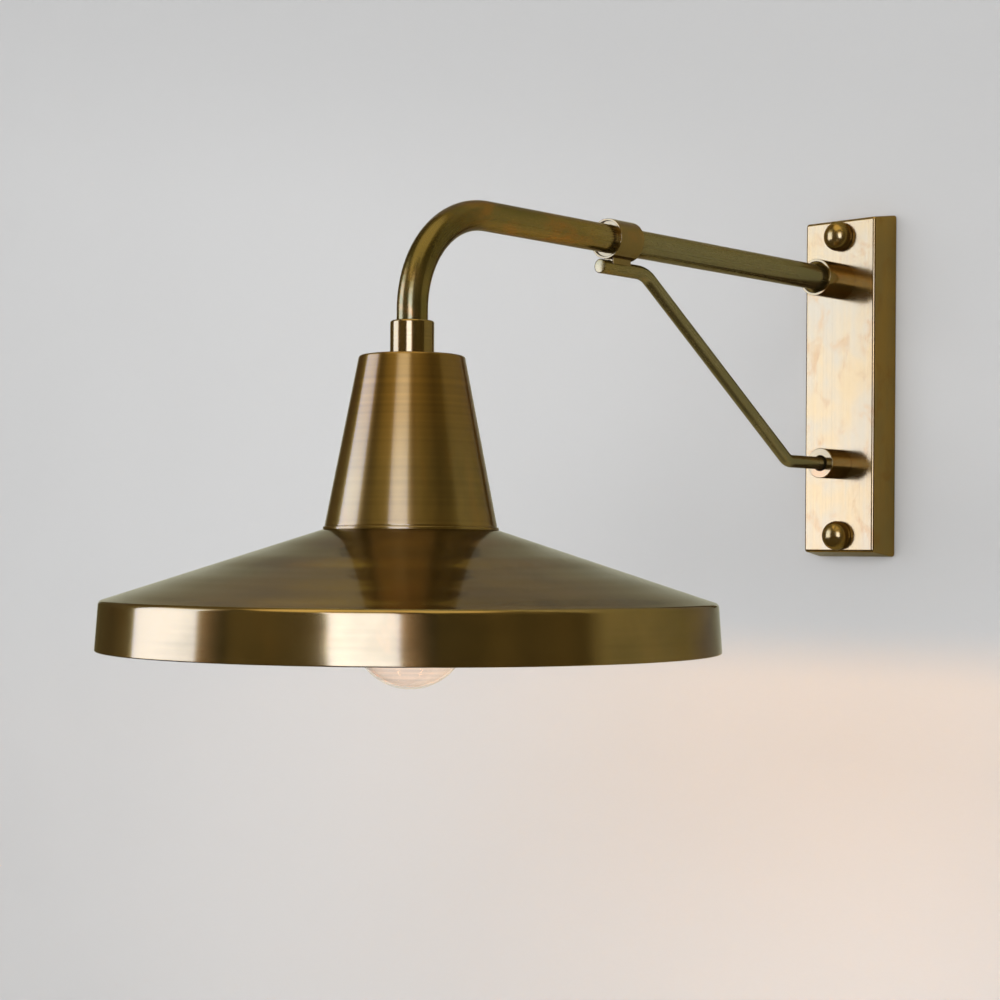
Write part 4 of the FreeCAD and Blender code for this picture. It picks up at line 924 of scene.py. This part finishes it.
room = {
    "wallTone": (0.620, 0.622, 0.624), "wallPale": 0.6, "wallHalf": 5.0, "wallTop": 4.0, "wallFront": 0.0003,
    "sideSpan": (-1.0, -0.45), "sideLift": 1.05,  # painted light: a little lighter behind the light
    "highSpan": (0.02, 0.24), "highLean": 0.22, "highDim": 0.93,  # painted shade: darker above it
    "paleSpan": (1.3, 4.0),  # how far out the wall turns pale to the camera
    # the wall is open behind the cover plate, so that the pieces inside are seen from the back
    "opening": (0.0285, 0.110),
    "floorTone": (0.66, 0.66, 0.655), "floorPale": 0.6, "floorLevel": -1.0, "floorHalf": 6.0,
    # the stretch of wall that the metal mirrors, and its tone higher up
    "panel": (-1.05, 1.5), "panelFade": (0.8, 1.5), "panelTone": (0.59, 0.585, 0.45),
    "panelHigh": (0.97, 0.97, 0.76), "panelHighSpan": (0.35, 0.9),
    "air": (0.15, 0.15, 0.15), "domeRadius": 9.0,
    "backdrop": (0.62, 0.62, 0.615), "backdropDim": 0.98, "backdropScale": 0.3, "backdropRadius": 9.5,
    # what the metal mirrors beyond wall and lamps, by height, and a warm patch above the camera's side
    "domeLow": (0.125, 0.095, 0.039), "domeHigh": (0.25, 0.215, 0.12), "domeTop": (0.30, 0.25, 0.13),
    "domeHeights": (0.0, 0.45, 0.9),
    "bandScale": 5.0, "bandShape": (1.0, 1.0, 0.25), "bandRange": (0.70, 1.30),  # tall soft bands: it is uneven
    "patch": (2.2, 1.95, 1.35), "patchSide": (0.161, -0.441, 0.883), "patchSpan": (0.78, 0.90),
}
lamps = {
    # each soft box: azimuths of its left and right edge at the foot and at the top, radiance of its lamp,
    # and the radiance that the metal mirrors along its height, from the foot to the top
    "boxes": {
        "left": (
            (-158.5, -122.3), (-158.5, -122.3), 1.5,
            ((0.0, (4.6, 5.9, 13.8)), (0.44, (3.7, 5.1, 12.4)), (0.53, (3.0, 4.0, 8.6)), (0.58, (2.3, 2.6, 4.2)),
             (0.70, (0.95, 0.95, 1.0)), (0.92, (0.25, 0.24, 0.2))),
        ),
        "right": (
            (-70.0, -46.3), (-84.6, -52.0), 3.0,
            ((0.0, (5.8, 7.6, 19.0)), (0.30, (5.3, 6.9, 16.8)), (0.44, (4.3, 5.3, 11.6)), (0.53, (3.3, 3.5, 4.8)),
             (0.58, (1.8, 1.55, 1.3)), (0.70, (0.9, 0.78, 0.6)), (0.92, (0.25, 0.24, 0.2))),
        ),
    },
    "distance": 2.2, "foot": -0.50, "top": 2.40, "lampTop": 1.19,
    # beyond its right edge each box has a dim warm tail, this many degrees wide
    "tail": 12.0, "tailTone": (0.22, 0.125, 0.052),
    "fade": 0.03, "footFade": 0.02, "topFade": 0.08,  # soft edges, as shares of the card
    "fill": {"place": (-0.2, -4.2, 0.1), "aim": (0, 0, -0.1), "width": 3.6, "height": 2.6, "radiance": 3.4},
    # behind the wall: it reaches only what is seen from the back
    "rear": {"place": (0.5, 2.4, 0.9), "aim": (0, 0, 0), "width": 2.4, "height": 2.0, "radiance": 3.0},
    # the light that the bulb itself gives
    "glow": (1.0, 0.50, 0.13), "glowPower": 3.4, "glowLevel": -0.150, "glowRadius": 0.012,
}


def quad(name, corners, material):
    mesh = bpy.data.meshes.new(name)
    mesh.from_pydata(corners, [], [(0, 1, 2, 3)])
    spread = mesh.uv_layers.new(name="spread")
    for loop, place in zip(spread.data, ((0, 0), (1, 0), (1, 1), (0, 1))):
        loop.uv = place
    mesh.materials.append(material)
    piece = objectFrom(name, mesh)
    return piece


paintLook = {
    "gritScale": 260.0, "cloudScale": 3.0, "dim": 0.97, "roughness": 0.85, "strength": 0.08, "bumpDepth": 0.001,
}


def paintFinish(name, tone, seeThrough=False, sweep=False, high=None, pale=0.0):
    look = paintLook
    f = Finish(name)
    place = f.spot()
    split = f.split(place)
    side, height = split.out("X"), split.out("Z")
    grit = f.noise(place, look["gritScale"], 4.0, 0.6)
    cloud = f.noise(place, look["cloudScale"], 2.0)
    shade = f.blend(scaled(tone, look["dim"]), tone, f.ease(cloud, *wideSpan))
    if sweep:
        # painted light and shade on the wall: lighter behind the light, darker higher up
        rise = height + side * room["highLean"]
        shade = f.blend(shade, scaled(tone, room["sideLift"]), f.ease(side, *room["sideSpan"]))
        shade = f.blend(shade, scaled(tone, room["highDim"]), f.ease(rise, *room["highSpan"]))
    if high:
        shade = f.blend(shade, high, f.ease(height, *room["panelHighSpan"]))
    seen = f.add("ShaderNodeLightPath")  # only the camera sees this paleness
    if sweep:
        seen = seen * f.ease(side.math("ABSOLUTE"), *room["paleSpan"])
    body = f.add("ShaderNodeBsdfPrincipled", None, {
        "Base Color": shade, "Roughness": look["roughness"], "Specular IOR Level": 0.0,
        "Normal": f.bump(grit, look["strength"], look["bumpDepth"]), "Emission Strength": 1.0 if pale else 0.0,
        "Emission Color": f.blend((0.0, 0.0, 0.0), scaled(tone, pale), seen),
    })
    if seeThrough:
        behind = f.add("ShaderNodeNewGeometry", out="Backfacing")
        if high:
            behind = behind.math("MAXIMUM", f.ease(side, *room["panelFade"]))
        body = f.add("ShaderNodeMixShader", None, {0: behind, 1: body, 2: f.add("ShaderNodeBsdfTransparent")})
    f.show(body)
    return f.material


def domeFinish():
    f = Finish("domeGlow")
    side = f.add("ShaderNodeVectorMath", {"operation": "NORMALIZE"}, {0: f.spot()})
    height = f.split(side).out("Z")
    low, high, top = room["domeHeights"]
    tone = f.blend(room["domeLow"], room["domeHigh"], f.ease(height, low, high))
    tone = f.blend(tone, room["domeTop"], f.ease(height, high, top))
    bands = f.noise(f.stretched(side, room["bandShape"]), room["bandScale"], 4.0)
    level = f.ease(bands, *narrowSpan, *room["bandRange"])
    tone = f.add("ShaderNodeVectorMath", {"operation": "SCALE"}, {0: tone, "Scale": level})
    toward = f.add("ShaderNodeVectorMath", {"operation": "DOT_PRODUCT"}, {0: side, 1: room["patchSide"]}, 1)
    f.show(f.glow(f.blend(tone, room["patch"], f.ease(toward, *room["patchSpan"]))))
    return f.material


def backdropFinish():
    f = Finish("backdropGlow")
    cloud = f.noise(f.spot(), room["backdropScale"], 2.0)
    dim = scaled(room["backdrop"], room["backdropDim"])
    f.show(f.glow(f.blend(dim, room["backdrop"], f.ease(cloud, *wideSpan))))
    return f.material


def dome(name, radius, material, *rays):
    # a ball around everything, hidden from these rays and from those that light and shade
    bm = bmesh.new()
    bmesh.ops.create_uvsphere(bm, u_segments=32, v_segments=16, radius=radius)
    mesh = bpy.data.meshes.new(name)
    bm.to_mesh(mesh)
    bm.free()
    mesh.materials.append(material)
    mesh.shade_smooth()
    piece = objectFrom(name, mesh)
    hideFrom(piece, "diffuse", "shadow", "transmission", "volume_scatter", *rays)


def makeRoom():
    level, front = room["floorLevel"], room["wallFront"]
    halfWidth, halfHeight = room["opening"]

    def upright(name, left, right, *finish):
        # four sheets around the opening
        paint = paintFinish(name + "Paint", *finish)
        top = room["wallTop"]
        spans = ((left, -halfWidth, level, top), (halfWidth, right, level, top),
                 (-halfWidth, halfWidth, level, -halfHeight), (-halfWidth, halfWidth, halfHeight, top))
        sheets = []
        for number, (x0, x1, z0, z1) in enumerate(spans):
            corners = [(x0, front, z0), (x1, front, z0), (x1, front, z1), (x0, front, z1)]
            sheets.append(quad(name + str(number), corners, paint))
        return sheets

    ends = (-room["wallHalf"], room["wallHalf"])
    for sheet in upright("wall", *ends, room["wallTone"], True, True, None, room["wallPale"]):
        hideFrom(sheet, "glossy")
    for sheet in upright("panel", *room["panel"], room["panelTone"], True, False, room["panelHigh"]):
        hideFrom(sheet, "camera", "diffuse", "transmission", "shadow")
    half = room["floorHalf"]
    corners = [(-half, -half, level), (half, -half, level), (half, half, level), (-half, half, level)]
    floor = quad("floor", corners, paintFinish("floorPaint", room["floorTone"], pale=room["floorPale"]))
    hideFrom(floor, "glossy")
    dome("mirrorDome", room["domeRadius"], domeFinish(), "camera")
    dome("backdrop", room["backdropRadius"], backdropFinish(), "glossy")
    world = bpy.data.worlds.new("world")
    world.use_nodes = True
    world.node_tree.nodes["Background"].inputs["Color"].default_value = (*room["air"], 1.0)
    bpy.context.scene.world = world


def cardFinish(label, climb, shoulder):
    # cool at the foot, golden and dim towards the top; right of the shoulder only a warm tail
    f = Finish(label + "CardGlow")
    spread = f.split(f.add("ShaderNodeUVMap", {"uv_map": "spread"}))
    sides, height = spread.out("X"), spread.out("Y")
    tone = climb[0][1]
    for (low, lowTone), (high, highTone) in zip(climb, climb[1:]):
        tone = f.blend(tone, highTone, f.ease(height, low, high))
    tail = f.add("ShaderNodeMix", {"data_type": "RGBA", "blend_type": "MULTIPLY"},
                 {0: 1.0, 6: tone, 7: lamps["tailTone"]}, 2)
    rest = (1 - sides) * (1 / (1 - shoulder))
    tail = f.blend((0, 0, 0), tail, rest * rest)
    tone = f.blend(tone, tail, f.ease(sides, shoulder - lamps["fade"], shoulder))
    clear = f.add("ShaderNodeBsdfTransparent")
    ends = f.ease(height, 0.0, lamps["footFade"]) * f.ease(1 - height, 0.0, lamps["topFade"])
    ends = ends * f.ease(sides, 0.0, lamps["fade"])
    f.show(f.add("ShaderNodeMixShader", None, {0: ends, 1: clear, 2: f.glow(tone)}))
    return f.material


def areaLamp(name, place, aim, width, height, radiance):
    data = bpy.data.lights.new(name, "AREA")
    data.shape = "RECTANGLE"
    data.size, data.size_y = width, height
    # an area lamp of power P shows radiance P / (pi * area)
    data.energy = radiance * math.pi * width * height
    lamp = objectFrom(name, data)
    turn = (aim - place).to_track_quat("-Z", "Y")
    lamp.matrix_world = Matrix.Translation(place) @ turn.to_matrix().to_4x4()
    hideFrom(lamp, "glossy")


def makeLamps():
    axis = Vector((0, shadeAxis * mm, 0))
    foot, top, tail = lamps["foot"], lamps["top"], lamps["tail"]
    for label, (low, high, radiance, climb) in lamps["boxes"].items():
        middle = math.radians(sum(low) / 2)
        out = Vector((math.cos(middle), math.sin(middle), 0))
        corners = []
        for angle, height in ((low[0], foot), (low[1] + tail, foot), (high[1] + tail, top), (high[0], top)):
            turn = math.radians(angle)
            reach = lamps["distance"] / math.cos(turn - middle)
            corners.append(axis + Vector((math.cos(turn) * reach, math.sin(turn) * reach, height)))
        half = math.tan(math.radians(low[1] - low[0]) / 2)
        shoulder = 2 * half / (half + math.tan(math.radians((low[1] - low[0]) / 2 + tail)))
        card = quad(label + "Card", corners, cardFinish(label, climb, shoulder))
        hideFrom(card, "camera", "diffuse", "shadow", "transmission", "volume_scatter")
        place = axis + out * lamps["distance"] + Vector((0, 0, (foot + lamps["lampTop"]) / 2))
        width = 2 * half * lamps["distance"]
        areaLamp(label + "Lamp", place, axis, width, lamps["lampTop"] - foot, radiance)
    for label in ("fill", "rear"):
        box = lamps[label]
        place, aim = Vector(box["place"]), Vector(box["aim"])
        areaLamp(label + "Lamp", place, aim, box["width"], box["height"], box["radiance"])
    data = bpy.data.lights.new("bulbLamp", "POINT")
    data.energy = lamps["glowPower"]
    data.color = lamps["glow"]
    data.shadow_soft_size = lamps["glowRadius"]
    objectFrom("bulbLamp", data).location = (0, shadeAxis * mm, lamps["glowLevel"])


makeRoom()
makeLamps()
bpy.context.scene.view_settings.view_transform = "Standard"
say("room and light made")
